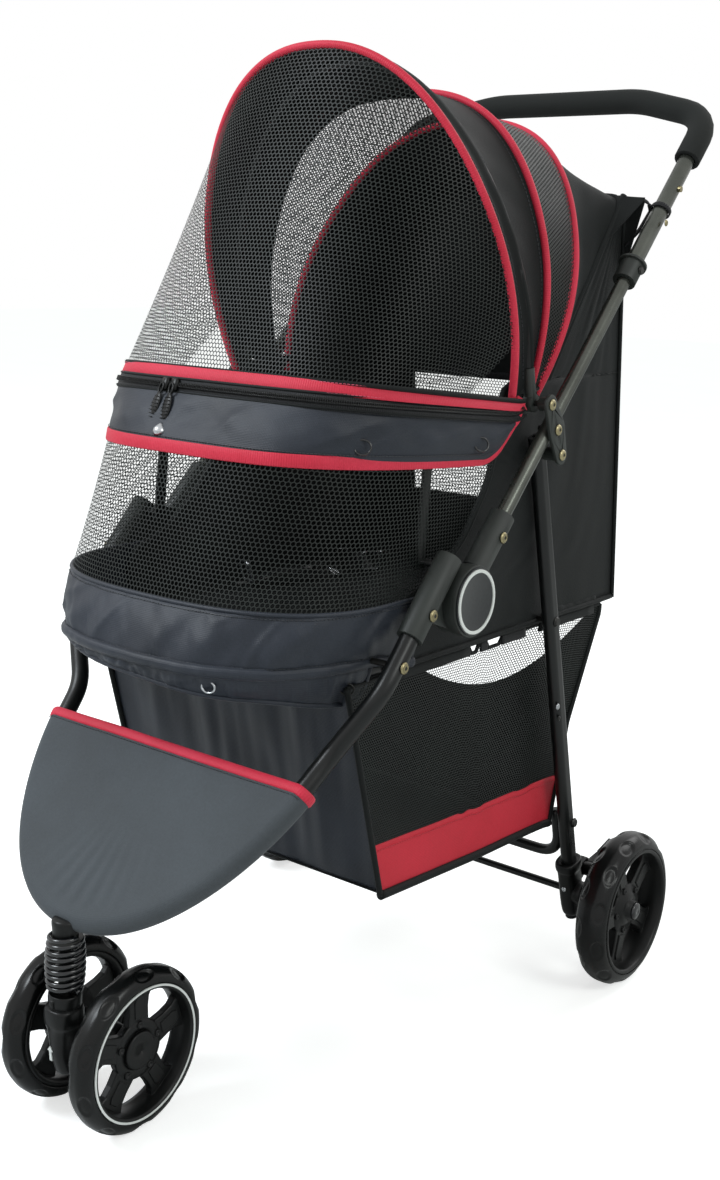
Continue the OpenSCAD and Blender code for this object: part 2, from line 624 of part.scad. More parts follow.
// Casting that clamps the front bow and holds the swivel stem
module stem_socket() color("#17181a") difference() {
  translate([0, -trail, spring_top + 0.4]) cylinder(h = nose_z - spring_top - 2, r = 16);
  x_bar([nose_y, nose_z], -20, 20, front_tube_d / 2 + 0.9);
  translate([0, -trail, spring_top - 1]) cylinder(h = 7.5, r = stem_r + run);
}

// ------------------------------------------------------------------- caster

module swivel_stem() color("#a5a7a8") {
  translate([0, -trail, stem_bottom]) cylinder(h = spring_top + 6 - stem_bottom, r = stem_r);
  translate([0, -trail, spring_top - 4]) cylinder(h = 4, r = 16);
}

// Compression spring round the stem
module spring() {
  turns = 9;
  per_turn = 14;
  r = spring_r - 2.4;
  rise = (spring_top - 4.3) - spring_bottom - 5.4;
  color("#1c1d1f") translate([0, -trail, spring_bottom + 2.7])
    wire([for (i = [0:turns * per_turn]) let (a = 360 * i / per_turn)
      [r * cos(a), r * sin(a), rise * i / (turns * per_turn)]], 2.2, [0, 0, 1]);
}

// Fork that slides on the stem and holds the front axle
module fork() color("#141517") difference() {
  union() {
    translate([0, -trail, spring_bottom - 12]) cylinder(h = 12, r = spring_r);
    translate([0, -trail, front_wheel_r - 22]) cylinder(h = spring_bottom - front_wheel_r + 12, r1 = 14,
      r2 = 18);
    side_plate([[-trail + 4, front_wheel_r + 28], [-trail, front_wheel_r - 14], [4, front_wheel_r - 13],
      [8, front_wheel_r + 12]], -9, 9);
    x_bar([0, front_wheel_r], -(front_wheel_x - front_tyre_w / 2 - 4),
      front_wheel_x - front_tyre_w / 2 - 4, 13);
  }
  translate([0, -trail, stem_bottom - spring_travel - 2]) cylinder(h = 200, r = stem_r + run);
  x_bar([0, front_wheel_r], -60, 60, front_axle_r + run);
}

module front_axle() color("#8d9094") {
  reach = front_wheel_x + front_tyre_w / 2 - 5;
  x_bar([0, front_wheel_r], -reach, reach, front_axle_r);
  both() x_bar([0, front_wheel_r], reach - 1, reach + 3, 8);
}

// --------------------------------------------------------------- floor frame

floor_tube_d = 14;
floor_round_y = 47 + floor_x;
rear_corner_r = 30;
module floor_loop(d) {
  module ring() circle(d = d);
  translate([0, 0, floor_z]) {
    translate([0, floor_round_y, 0]) rotate([0, 0, 180]) rotate_extrude(angle = 180, $fn = 96)
      translate([floor_x, 0]) ring();
    both() {
      translate([floor_x, floor_round_y, 0]) rotate([-90, 0, 0])
        cylinder(h = floor_rear - rear_corner_r - floor_round_y, d = d);
      translate([floor_x - rear_corner_r, floor_rear - rear_corner_r, 0]) rotate_extrude(angle = 90)
        translate([rear_corner_r, 0]) ring();
    }
    translate([-(floor_x - rear_corner_r), floor_rear, 0]) rotate([0, 90, 0])
      cylinder(h = 2 * (floor_x - rear_corner_r), d = d);
  }
}
module floor_tube() color("#202224") difference() {
  floor_loop(floor_tube_d);
  floor_loop(floor_tube_d - 2 * tube_wall);
  both() x_bar([leg_y(floor_z), floor_z], floor_x - 12, floor_x + 12, screw_r + run);
}

// Stiff board that fills the floor loop
module floor_board() {
  r = floor_x - floor_tube_d / 2 - gap;
  rear = floor_rear - floor_tube_d / 2 - gap;
  color("#18191b") translate([0, 0, floor_z - 2]) difference() {
    union() {
      translate([0, floor_round_y, 0]) cylinder(h = 4, r = r, $fn = 96);
      translate([-r, floor_round_y, 0]) cube([2 * r, rear - floor_round_y, 4]);
    }
    for (s = [-1, 1]) translate([s * r, rear, -1]) rotate([0, 0, 45]) cube([32, 32, 12], center = true);
    both() x_bar([leg_y(floor_z), 2], floor_x - 12, floor_x + 12, screw_r + 1);
  }
}

module tub() color("#1b1c1f") skin(plan_curve(plan_low), plan_curve(plan_tub), 0, 0, [240, 450]);
module front_window() color("#3a3b3d") skin(plan_curve(plan_tub), plan_curve(plan_belt), gap, gap,
  [300, 540]);

panel_x = floor_x + floor_tube_d / 2 + 0.5;
rear_top = [arch_d[1] + (arch_d[3] + 3) * cos(arch_d[4]), arch_d[2] + (arch_d[3] + 3) * sin(arch_d[4])];
module side_panel() color("#18191b") difference() {
  side_plate([[240, floor_z - 6], [rear_wall_y(floor_z - 6), floor_z - 6],
    [rear_wall_y(rear_top[1] - 4), rear_top[1] - 4],
    [arch_d[1] - 2, arch_d[2] - 8], [386, 602], [300, 528], [244, 474]], panel_x, panel_x + fabric_t);
  x_bar([leg_y(floor_z), floor_z], panel_x - 1, panel_x + 2 * fabric_t, screw_r + gap);
}
function rear_wall_y(z) = lerp(floor_rear + floor_tube_d / 2 + 1.2, rear_top[0] - 2,
  (z - floor_z) / (rear_top[1] - floor_z));
module side_panel_left() side_panel();
module side_panel_right() mirror([1, 0, 0]) side_panel();
module rear_panel() color("#18191b") {
  low = floor_z - 6;
  high = rear_top[1] - 4;
  side_plate([[rear_wall_y(low), low], [rear_wall_y(low) + fabric_t, low],
    [rear_wall_y(high) + fabric_t, high], [rear_wall_y(high), high]], -(panel_x - 0.4), panel_x - 0.4);
}

// Fabric basket under the floor, open to the rear below the floor tube
basket_x = floor_x + 6;
basket_top = floor_z - floor_tube_d / 2 - 0.3;
basket_clear = 2.2;   // gap between the basket and the cross bar
module basket() {
  w = fabric_t;
  low_z = cross_top_z - 24;
  rear_low = [leg_y(cross_top_z) + 5 - cross_bar_d / 2 - basket_clear - 24 * 32 / 123, low_z];
  color("#1a1b1d") difference() {
    side_plate([[207, 189], rear_low, [rear_low[0] + 32, low_z + 123], [616, basket_top - 12],
      [616, basket_top], [141, basket_top]],
      -basket_x, basket_x);
    side_plate([[207 + w, 189 + w], rear_low + [-w, w], [rear_low[0] + 32 - w, low_z + 123],
      [616 - w, basket_top - 12],
      [616 - w, basket_top + 1], [141 + w, basket_top + 1]], -basket_x + w, basket_x - w);
    translate([-basket_x + 24, 480, 300]) cube([2 * basket_x - 48, 200, 200]);
  }
}

// ------------------------------------------------------------------- canopy

function plane_side(a) = [0, -sin(a[4]), cos(a[4])];
canopy_centre = [400, 640];

// Plastic arms that hinge on the bracket bolts and carry the main bow
arm_x = arch_m[0] * arch_m[7];
module canopy_arms() color("#2e3234") both() difference() {
  foot = arch_point(arch_m, 0);
  union() {
    x_bar(pivot_c, arm_x - 4.5, arm_x + 5.5, 9);
    rod([arm_x + 0.5, pivot_c[0], pivot_c[1]], [arm_x, foot[1], foot[2] - 0.5], 12);
  }
  x_bar(pivot_c, arm_x - 12, arm_x + 12, screw_r + run);
}
module main_bow() color("#2a2c2e") wire(arch_curve(arch_m), wire_m, plane_side(arch_m));
module front_bow() color("#c8283c") wire(arch_curve(arch_a, 3, 177), wire_a, plane_side(arch_a));
module middle_bow() color("#c8283c") wire(arch_curve(arch_b, 3, 177), wire_b, plane_side(arch_b));

// Rearmost bow, with feet that turn on the same bolts as the arms
module rear_bow() color("#c8283c") {
  foot = arch_point(arch_c, 0);
  wire(arch_curve(arch_c), wire_b, plane_side(arch_c));
  both() difference() {
    union() {
      x_bar(pivot_c, foot[0] - 4.5, foot[0] + 0.5, 8);
      rod(foot, [foot[0] - 2, pivot_c[0] + 3, pivot_c[1] + 1], 5);
    }
    x_bar(pivot_c, foot[0] - 8, foot[0] + 8, screw_r + run);
  }
}

module canopy_front_panel() color("#1c1d20") {
  skin(arch_curve(arch_a, 6, 174), arch_curve(arch_m, 7, 173), wire_a + gap, wire_m + 2 * gap,
    canopy_centre, rows = 2);
  skin(arch_curve(arch_m, 9, 171), arch_curve(arch_b, 9, 171), wire_m + 2 * gap, wire_b + gap,
    canopy_centre, rows = 2);
}
module canopy_mesh_panel() color("#2b2c2f")
  skin(arch_curve(arch_b, 6, 174), arch_curve(arch_c, 6, 174), wire_b + 2 * gap, wire_b + 2 * gap,
    canopy_centre, rows = 2);
module canopy_rear_panel() color("#1c1d20")
  skin(arch_curve(arch_c, 13, 167), arch_curve(arch_d, 3, 177), wire_b + 3 * gap, 0, canopy_centre);
module front_mesh() color("#3a3b3d")
  skin(plan_curve(plan_top, 12, 168), arch_curve(arch_a, 8, 172), gap, wire_a + 2 * gap, [330, 760]);

fit() rear_leg_left();
fit() rear_leg_right();
fit() rear_cross_bar();
fit() axle_feet();
fit() rear_axle();
fit() leg_screws();
fit() brake_pedal_left();
fit() brake_pedal_right();
fit() rear_tyre_left();
fit() rear_rim_left();
fit() rear_tyre_right();
fit() rear_rim_right();
fit() handle_tube_left();
fit() handle_tube_right();
fit() handle_bow();
fit() handle_grip();
fit() handle_collars();
fit() handle_button_left();
fit() handle_button_right();
fit() side_brackets();
fit() hub_upper_left();
fit() hub_upper_right();
fit() hub_caps();
fit() handle_screws();
fit() belt_rail();
fit() belt_struts();
fit() belt_band();
fit() zip_pull();
fit() front_tube();
fit() hub_lower_left();
fit() hub_lower_right();
fit() front_screws();
fit() front_cover();
fit() stem_socket();
fit() swivel_stem();
fit() spring();
fit() fork();
fit() front_axle();
fit() front_tyre_left();
fit() front_rim_left();
fit() front_tyre_right();
fit() front_rim_right();
fit() floor_tube();
fit() floor_board();
fit() tub();
fit() front_window();
fit() side_panel_left();
fit() side_panel_right();
fit() rear_panel();
fit() basket();
fit() canopy_arms();
fit() main_bow();
fit() front_bow();
fit() middle_bow();
fit() rear_bow();
fit() canopy_front_panel();
fit() canopy_mesh_panel();
fit() canopy_rear_panel();
fit() front_mesh();
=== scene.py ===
"""Folding pet stroller: fabrics, netting, tubes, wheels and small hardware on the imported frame."""
import json
import math

import bmesh
import bpy
from mathutils import Matrix, Vector, noise


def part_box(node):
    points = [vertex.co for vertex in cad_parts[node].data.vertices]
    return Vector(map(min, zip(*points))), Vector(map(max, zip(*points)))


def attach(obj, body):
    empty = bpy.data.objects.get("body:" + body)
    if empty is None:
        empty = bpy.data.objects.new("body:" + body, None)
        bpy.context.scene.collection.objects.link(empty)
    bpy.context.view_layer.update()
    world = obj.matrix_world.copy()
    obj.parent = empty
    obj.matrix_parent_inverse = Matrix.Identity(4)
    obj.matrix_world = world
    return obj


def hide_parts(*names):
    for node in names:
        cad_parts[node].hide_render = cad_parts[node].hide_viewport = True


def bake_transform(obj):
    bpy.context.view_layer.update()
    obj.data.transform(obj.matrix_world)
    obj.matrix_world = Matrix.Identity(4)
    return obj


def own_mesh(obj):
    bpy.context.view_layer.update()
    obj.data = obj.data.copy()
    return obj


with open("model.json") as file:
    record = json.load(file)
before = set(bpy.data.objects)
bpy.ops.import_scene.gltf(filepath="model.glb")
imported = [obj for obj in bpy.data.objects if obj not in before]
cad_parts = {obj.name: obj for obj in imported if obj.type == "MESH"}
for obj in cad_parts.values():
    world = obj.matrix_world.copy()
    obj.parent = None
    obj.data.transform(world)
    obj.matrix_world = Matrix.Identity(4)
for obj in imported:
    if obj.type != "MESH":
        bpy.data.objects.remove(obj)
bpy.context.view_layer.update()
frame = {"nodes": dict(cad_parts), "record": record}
NODES = frame["nodes"]
RECORD = frame["record"]
MM = 0.001
TURN = 2 * math.pi

# ---------------------------------------------------------------- places
JOINT = {j["name"]: j for j in RECORD["behaviour"]["joints"]}


def pivot(name):
    """Place of a joint in the frame."""
    return Vector(JOINT[name]["pos_m"])


WHEELBASE = 560.0
SHIFT = pivot("rear_wheel_left_spin").y / MM - WHEELBASE


def at(x, y, z):
    """A side-view place in millimetres, y counted back from the front axle, as metres in the frame."""
    return Vector((x * MM, (y + SHIFT) * MM, z * MM))


def back(p):
    """The place in millimetres of a point of the frame, y counted back from the front axle."""
    return (p.x / MM, p.y / MM - SHIFT, p.z / MM)


def lerp(a, b, u):
    """Value between a and b at the share u."""
    return a + (b - a) * u


def clamp(v, lo=0.0, hi=1.0):
    """The value held between lo and hi."""
    return max(lo, min(hi, v))


def smooth(v):
    """Soft step from 0 to 1."""
    v = clamp(v)
    return v * v * (3 - 2 * v)


def power(v, p):
    """Power that keeps the sign."""
    return math.copysign(abs(v) ** p, v)


# Canopy arches: half width, y, z, height, lean, side power, top power, foot share
ARCH_A = (203, 364.5, 664, 343, 106.9, 2.23, 2.22, 0.90)
ARCH_M = (194, 386, 688, 303, 102, 2, 1.91, 0.96)
ARCH_B = (189, 418, 672, 287, 91.2, 2.72, 2.46, 0.90)
ARCH_C = (189.5, 440, 664, 299.5, 69.2, 2.53, 2.17, 0.89)
ARCH_D = (164, 452, 652, 264, 54, 8, 9, 1)
# Walls round the front: half width, rear end y, depth, side power, front power, side z, front z
PLAN_LOW = (168, 206, 179, 2.6, 2.6, 415, 415)
PLAN_TUB = (178, 190, 142, 2.6, 2.6, 480, 480)
PLAN_BELT = (180, 344, 256, 3.6, 2.7, 595, 607)
PLAN_TOP = (186, 382, 248, 4.4, 3.6, 654, 681)
# The side tubes of the floor: height of their centres, and half the distance between them
FLOOR_Z, FLOOR_X = 416, 157


def arch(a, t):
    """Point of an arch; t runs from 0 at the left foot over the top to 1 at the right foot."""
    t = math.pi * clamp(t)
    s = a[3] * power(math.sin(t), 2 / a[6])
    lean = math.radians(a[4])
    foot = 1 - (1 - a[7]) * clamp(1 - s / (a[3] / 2)) ** 2
    return at(a[0] * power(math.cos(t), 2 / a[5]) * foot, a[1] + s * math.cos(lean), a[2] + s * math.sin(lean))


def plan(p, t):
    """Point of a wall edge; t runs from 0 at the left rear end round the front to 1."""
    t = math.pi * clamp(t)
    s = power(math.sin(t), 2 / p[4])
    return at(p[0] * power(math.cos(t), 2 / p[3]), p[1] - p[2] * s, lerp(p[5], p[6], s))


def even(points, n):
    """n points at equal distances along a polyline."""
    total = [0.0]
    for a, b in zip(points, points[1:]):
        total.append(total[-1] + (b - a).length)
    out, k = [], 0
    for i in range(n):
        want = total[-1] * i / (n - 1)
        while k < len(points) - 2 and total[k + 1] < want:
            k += 1
        span = total[k + 1] - total[k] or 1
        out.append(points[k].lerp(points[k + 1], clamp((want - total[k]) / span)))
    return out


def on(points, u):
    """Point at the share u of an evenly spaced polyline."""
    f = clamp(u) * (len(points) - 1)
    i = min(int(f), len(points) - 2)
    return points[i].lerp(points[i + 1], f - i)


def rounded(points, radius, k=6):
    """Polyline with its inner corners rounded."""
    out = [points[0]]
    for i in range(1, len(points) - 1):
        p, a, b = points[i], points[i - 1], points[i + 1]
        da, db = (p - a), (b - p)
        r = radius[i] if isinstance(radius, (list, tuple)) else radius
        cut = min(r, da.length * 0.5, db.length * 0.5)
        if cut <= 0:
            out.append(p)
            continue
        s, e = p - da.normalized() * cut, p + db.normalized() * cut
        for q in range(k + 1):
            u = q / k
            out.append(s.lerp(p, u).lerp(p.lerp(e, u), u))
    out.append(points[-1])
    return out


# ---------------------------------------------------------------- materials
def tone(code):
    """A linear colour from an sRGB hex value."""
    parts = [int(code[i:i + 2], 16) / 255 for i in (1, 3, 5)]
    return [c / 12.92 if c <= 0.04045 else ((c + 0.055) / 1.055) ** 2.4 for c in parts] + [1.0]


def add(tree, kind, inputs=None, stops=(), **settings):
    """A node with its settings, and inputs that are values or other nodes' outputs.
    stops are the places and tones of a colour ramp."""
    node = tree.nodes.new(kind)
    for key, value in settings.items():
        setattr(node, key, value)
    for k, (place, colour) in enumerate(stops):
        node.color_ramp.elements[k].position, node.color_ramp.elements[k].color = place, colour
    for key, value in (inputs or {}).items():
        socket = node.inputs[key]
        if isinstance(value, bpy.types.NodeSocket):
            tree.links.new(value, socket)
        else:
            socket.default_value = value
    return node


def new_material(name):
    """An empty node material and its tree."""
    m = bpy.data.materials.new(name)
    m.use_nodes = True
    m.node_tree.nodes.clear()
    return m, m.node_tree


def cloth(name, base, light, spacing=0.0016, rough=0.6, sheen=0.12, depth=0.25, ribs=False, spec=0.3):
    """Woven polyester with a thin coating: crossing threads with a painted highlight on their raised tops, a soft sheen
    and slow changes of tone.
    The real threads are about 0.5 mm apart; they are drawn coarser so that the weave still shows."""
    m, t = new_material(name)
    uv = add(t, "ShaderNodeUVMap").outputs["UV"]
    place = add(t, "ShaderNodeTexCoord").outputs["Object"]
    turns = 1 / spacing
    warp = add(t, "ShaderNodeTexWave", {"Vector": uv, "Scale": turns / 3.2, "Distortion": 0.4, "Detail": 1.0},
               wave_type="BANDS", bands_direction="X", wave_profile="SIN")
    weft = add(t, "ShaderNodeTexWave", {"Vector": uv, "Scale": turns / 3.2, "Distortion": 0.4, "Detail": 1.0},
               wave_type="BANDS", bands_direction="Y", wave_profile="SIN")
    both = add(t, "ShaderNodeMath", {0: warp.outputs["Fac"], 1: weft.outputs["Fac"]}, operation="MAXIMUM")
    weave = warp.outputs["Fac"] if ribs else both.outputs[0]
    slow = add(t, "ShaderNodeTexNoise", {"Vector": place, "Scale": 9.0, "Detail": 3.0,
                                         "Roughness": 0.55}).outputs["Fac"]
    fine = add(t, "ShaderNodeTexNoise", {"Vector": place, "Scale": 420.0, "Detail": 2.0}).outputs["Fac"]
    faint = add(t, "ShaderNodeMath", {0: fine, 1: 0.35}, operation="MULTIPLY").outputs[0]
    blend = add(t, "ShaderNodeMath", {0: slow, 1: faint}, operation="ADD").outputs[0]
    colour = add(t, "ShaderNodeValToRGB", {"Fac": blend},
                 stops=((0.45, tone(base)), (0.95, tone(light)))).outputs["Color"]
    # Raised threads are mixed towards the lighter tone: a painted highlight on the thread tops and painted shade
    # between them.
    painted_crest_highlight = add(t, "ShaderNodeMath", {0: weave, 1: 0.22}, operation="MULTIPLY").outputs[0]
    painted_weave_colour = add(t, "ShaderNodeMix", {"Factor": painted_crest_highlight, 6: colour, 7: tone(light)}, data_type="RGBA").outputs[2]
    rough_map = add(t, "ShaderNodeMapRange", {"Value": blend, "From Min": 0.3, "From Max": 1.0,
                                              "To Min": rough - 0.05, "To Max": rough + 0.08}).outputs[0]
    height = add(t, "ShaderNodeMath", {0: weave, 1: fine}, operation="ADD").outputs[0]
    bump = add(t, "ShaderNodeBump", {"Height": height, "Strength": depth, "Distance": 0.0006}).outputs[0]
    shader = add(t, "ShaderNodeBsdfPrincipled", {"Base Color": painted_weave_colour, "Roughness": rough_map, "Normal": bump,
                                                 "Sheen Weight": sheen, "Sheen Roughness": 0.45,
                                                 "Specular IOR Level": spec})
    add(t, "ShaderNodeOutputMaterial", {"Surface": shader.outputs[0]})
    return m


def hard(name, base, light, rough=0.4, metallic=0.0, grain=300.0, depth=0.08, spread=0.06, coat=0.0, spec=0.5):
    """Solid material with a fine surface grain, a little change of tone and of gloss, and worn-looking edges."""
    m, t = new_material(name)
    place = add(t, "ShaderNodeTexCoord").outputs["Object"]
    slow = add(t, "ShaderNodeTexNoise", {"Vector": place, "Scale": 14.0, "Detail": 4.0,
                                         "Roughness": 0.6}).outputs["Fac"]
    fine = add(t, "ShaderNodeTexNoise", {"Vector": place, "Scale": grain, "Detail": 3.0,
                                         "Roughness": 0.6}).outputs["Fac"]
    colour = add(t, "ShaderNodeValToRGB", {"Fac": slow},
                 stops=((0.35, tone(base)), (0.75, tone(light)))).outputs["Color"]
    gloss = add(t, "ShaderNodeMapRange", {"Value": slow, "From Min": 0.3, "From Max": 0.7,
                                          "To Min": rough - spread, "To Max": rough + spread}).outputs[0]
    soft_edge = add(t, "ShaderNodeBevel", {"Radius": 0.0007}, samples=3).outputs[0]
    bump = add(t, "ShaderNodeBump", {"Height": fine, "Strength": depth, "Distance": 0.0003,
                                     "Normal": soft_edge}).outputs[0]
    shader = add(t, "ShaderNodeBsdfPrincipled", {"Base Color": colour, "Roughness": gloss, "Metallic": metallic,
                                                 "Normal": bump, "Coat Weight": coat, "Specular IOR Level": spec})
    add(t, "ShaderNodeOutputMaterial", {"Surface": shader.outputs[0]})
    return m


# Oxford-weave polyester with a dull coating: near black, and a little green where light grazes it
BLACK_CLOTH = cloth("oxford_polyester_black", "#0C0E0E", "#191C1C", sheen=0.03, spec=0.14)
# The belt and tub are the same cloth, cut from a slightly bluer batch
NAVY_CLOTH = cloth("oxford_polyester_navy_black", "#161A21", "#2B303A", rough=0.44, sheen=0.06)
# Coated polyester of the apron, a flat charcoal grey
CHARCOAL_CLOTH = cloth("oxford_polyester_charcoal", "#373B3F", "#4C5156", rough=0.68, sheen=0.08)
# Grosgrain binding tape: crimson, with ribs across its length
RED_TAPE = cloth("grosgrain_binding_crimson", "#BE1C33", "#D93750", spacing=0.0022, rough=0.55, sheen=0.08,
                 depth=0.35, ribs=True)
# The wide basket band is cut from crimson polyester
RED_CLOTH = cloth("oxford_polyester_crimson", "#B81B2C", "#D22C3F", rough=0.6, sheen=0.06)
# Flat woven polypropylene webbing, black and slightly shiny
WEBBING = cloth("polypropylene_webbing_black", "#0E0F10", "#1C1D20", spacing=0.002, rough=0.5, sheen=0.04, depth=0.5,
                ribs=True, spec=0.2)
# Knitted polyester netting: round black threads with a faint shine
NET_THREAD = hard("knitted_netting_black", "#161918", "#262A28", rough=0.5, grain=900.0, depth=0.1, spec=0.22)
# Sewing thread, tone on tone
RED_THREAD = hard("polyester_thread_crimson", "#D9506A", "#EC7088", rough=0.5, grain=900.0)
BLACK_THREAD = hard("polyester_thread_black", "#2A2C30", "#3C3F45", rough=0.5, grain=900.0)
BAND_THREAD = hard("polyester_thread_red", "#B41B2D", "#C92B3E", rough=0.5, grain=900.0)
# Powder-coated steel tube, black with a satin gloss
BLACK_TUBE = hard("powder_coat_black_steel", "#0D0E0E", "#161818", rough=0.33, grain=700.0, depth=0.12, spec=0.3)
# Powder-coated handle tube with metal flake: grey and satin
GREY_TUBE = hard("powder_coat_grey_steel", "#4A4C47", "#5E605A", rough=0.27, metallic=0.75, grain=1100.0, depth=0.1)
# Glass-filled nylon, moulded with a fine spark-eroded texture
NYLON = hard("moulded_nylon_charcoal", "#242725", "#313532", rough=0.5, grain=800.0, depth=0.25, spec=0.35)
BLACK_NYLON = hard("moulded_nylon_black", "#090A0A", "#111212", rough=0.36, grain=800.0, depth=0.2, spec=0.24)
# ABS, moulded with a polished surface
GLOSS_ABS = hard("polished_abs_black", "#0C0D0F", "#15171A", rough=0.16, grain=250.0, depth=0.03, spread=0.04, coat=0.2)
# Closed-cell EVA foam tyre: black with a skin that shines
EVA = hard("moulded_eva_foam_black", "#080909", "#101111", rough=0.26, grain=500.0, depth=0.1, spread=0.07, spec=0.24)
# Soft foam sleeve with an open, matt skin
GRIP_FOAM = hard("nitrile_foam_black", "#171918", "#212322", rough=0.88, grain=900.0, depth=0.6, spec=0.3)
# Zinc-yellow plated steel rivet and bolt heads
BRASSY = hard("yellow_zinc_plated_steel", "#7A7152", "#A89F7E", rough=0.36, metallic=1.0, grain=400.0, depth=0.08)
# The shanks of the same bolts, black oxide
SHANK = hard("black_oxide_steel", "#1B1B1A", "#2A2A28", rough=0.4, metallic=0.6, grain=400.0, depth=0.08)
# Zinc-plated bright steel
BRIGHT = hard("bright_zinc_plated_steel", "#9EA1A4", "#C4C7CA", rough=0.26, metallic=1.0, grain=400.0, depth=0.06)
# Screen-printed white ring
WHITE_PRINT = hard("screen_print_white", "#D9DBD9", "#ECEEEC", rough=0.45, grain=600.0, depth=0.04)


# ---------------------------------------------------------------- studio
def into_scene(name, data):
    """A new object at the origin."""
    o = bpy.data.objects.new(name, data)
    bpy.context.collection.objects.link(o)
    return o


# Camera: place, turns in degrees, lens in millimetres and shift of its frame
CAM_AT = (929.0, -874.0, 789.0)
CAM_YAW, CAM_PITCH, CAM_ROLL = -38.96, -8.54, 1.87
CAM_LENS, CAM_SHIFT = 44.76, (0.0451, -0.0960)


def camera():
    """The camera, from its place and its three turns."""
    cam = bpy.data.cameras.new("camera")
    cam.sensor_width = 36
    cam.lens = CAM_LENS
    cam.shift_x, cam.shift_y = CAM_SHIFT
    cam.clip_start = 0.05
    yaw, pitch, roll = math.radians(CAM_YAW), math.radians(CAM_PITCH), math.radians(CAM_ROLL)
    ahead = Vector((math.sin(yaw) * math.cos(pitch), math.cos(yaw) * math.cos(pitch), math.sin(pitch)))
    right = ahead.cross(Vector((0, 0, 1))).normalized()
    up = right.cross(ahead)
    r2 = right * math.cos(roll) + up * math.sin(roll)
    u2 = -right * math.sin(roll) + up * math.cos(roll)
    rot = Matrix((r2, u2, -ahead)).transposed().to_4x4()
    o = into_scene("camera", cam)
    o.matrix_world = Matrix.Translation(at(*CAM_AT)) @ rot
    bpy.context.scene.camera = o


def surroundings():
    """White to the eye and in mirrors, and a soft grey-green light for everything else."""
    world = bpy.data.worlds.new("studio")
    bpy.context.scene.world = world
    world.use_nodes = True
    t = world.node_tree
    t.nodes.clear()
    path = add(t, "ShaderNodeLightPath")
    seen = path.outputs["Is Camera Ray"]
    for ray in ("Is Glossy Ray", "Is Transmission Ray"):
        seen = add(t, "ShaderNodeMath", {0: seen, 1: path.outputs[ray]}, operation="MAXIMUM").outputs[0]
    soft = add(t, "ShaderNodeBackground", {"Color": (0.93, 1.0, 0.965, 1), "Strength": 0.42})
    white = add(t, "ShaderNodeBackground", {"Color": (1, 1, 1, 1), "Strength": 1.0})
    mix = add(t, "ShaderNodeMixShader", {0: seen, 1: soft.outputs[0], 2: white.outputs[0]})
    add(t, "ShaderNodeOutputWorld", {"Surface": mix.outputs[0]})


def lamps():
    """Key lamp at the front left, a weaker one at the side and one behind."""
    for name, spot, aim, size, watts, colour in (
        ("key", (-1.3, -1.9, 2.4), (0, 0, 0.5), 1.1, 66, (0.89, 0.95, 1.0)),
        ("side", (2.4, -0.3, 2.1), (0, 0, 0.5), 1.0, 22, (0.96, 1.0, 0.97)),
        ("rear", (0.6, 2.3, 2.2), (0, 0, 0.6), 1.5, 20, (1.0, 1.0, 1.0)),
    ):
        lamp = bpy.data.lights.new(name, "AREA")
        lamp.energy, lamp.size, lamp.color = watts, size, colour
        ob = into_scene(name, lamp)
        ob.location = spot
        ob.rotation_euler = (Vector(aim) - Vector(spot)).to_track_quat("-Z", "Y").to_euler()


def ground():
    """Pale floor that takes a faint shadow."""
    m, t = new_material("studio_floor")
    path = add(t, "ShaderNodeLightPath")
    grain = add(t, "ShaderNodeTexNoise", {"Vector": add(t, "ShaderNodeTexCoord").outputs["Object"], "Scale": 3.0})
    pale = add(t, "ShaderNodeValToRGB", {"Fac": grain.outputs["Fac"]},
               stops=((0.35, (0.86, 0.86, 0.86, 1)), (0.65, (0.88, 0.88, 0.88, 1))))
    matt = add(t, "ShaderNodeBsdfDiffuse", {"Color": pale.outputs["Color"]})
    lift = add(t, "ShaderNodeEmission", {"Color": (1, 1, 1, 1), "Strength": 0.64})
    both = add(t, "ShaderNodeAddShader", {0: matt.outputs[0], 1: lift.outputs[0]})
    mix = add(t, "ShaderNodeMixShader", {0: path.outputs["Is Camera Ray"], 1: matt.outputs[0], 2: both.outputs[0]})
    add(t, "ShaderNodeOutputMaterial", {"Surface": mix.outputs[0]})
    bm = bmesh.new()
    bmesh.ops.create_grid(bm, x_segments=1, y_segments=1, size=14)
    me = bpy.data.meshes.new("floor")
    bm.to_mesh(me)
    bm.free()
    me.materials.append(m)
    floor = into_scene("floor", me)
    floor.location.z = -0.0004


bpy.context.scene.view_settings.view_transform = "Standard"
camera()
surroundings()
lamps()
ground()


# ---------------------------------------------------------------- mesh tools
def ring_faces(rings, k, closed=False):
    """Faces between rings of k points each; closed also joins the last ring to the first."""
    return [(i * k + j, i * k + (j + 1) % k, (i + 1) % rings * k + (j + 1) % k, (i + 1) % rings * k + j)
            for i in range(rings if closed else rings - 1) for j in range(k)]


def end_faces(rings, k):
    """The two faces that close the first and the last ring."""
    return [tuple(range(k)), tuple((rings - 1) * k + j for j in reversed(range(k)))]


def piece(name, verts, faces, material, uvs=None, shade=True):
    """A new object at the origin from its points and faces; uvs is one pair for each point."""
    me = bpy.data.meshes.new(name)
    me.from_pydata([tuple(v) for v in verts], [], faces)
    me.materials.append(material)
    if uvs:
        layer = me.uv_layers.new(name="UVMap")
        for loop in me.loops:
            layer.data[loop.index].uv = uvs[loop.vertex_index]
    if shade:
        me.shade_smooth()
    me.validate()
    return into_scene(name, me)


def keep_result(o):
    """Puts what the modifiers make in place of the object's mesh."""
    bpy.context.view_layer.update()
    me = bpy.data.meshes.new_from_object(o.evaluated_get(bpy.context.evaluated_depsgraph_get()))
    o.modifiers.clear()
    old, o.data = o.data, me
    bpy.data.meshes.remove(old)
    return o


def settle(o, **mods):
    """Adds modifiers in order, applies them and leaves a plain mesh."""
    for kind, values in mods.items():
        m = o.modifiers.new(kind, kind.upper())
        for k, v in values.items():
            setattr(m, k, v)
    return keep_result(o)


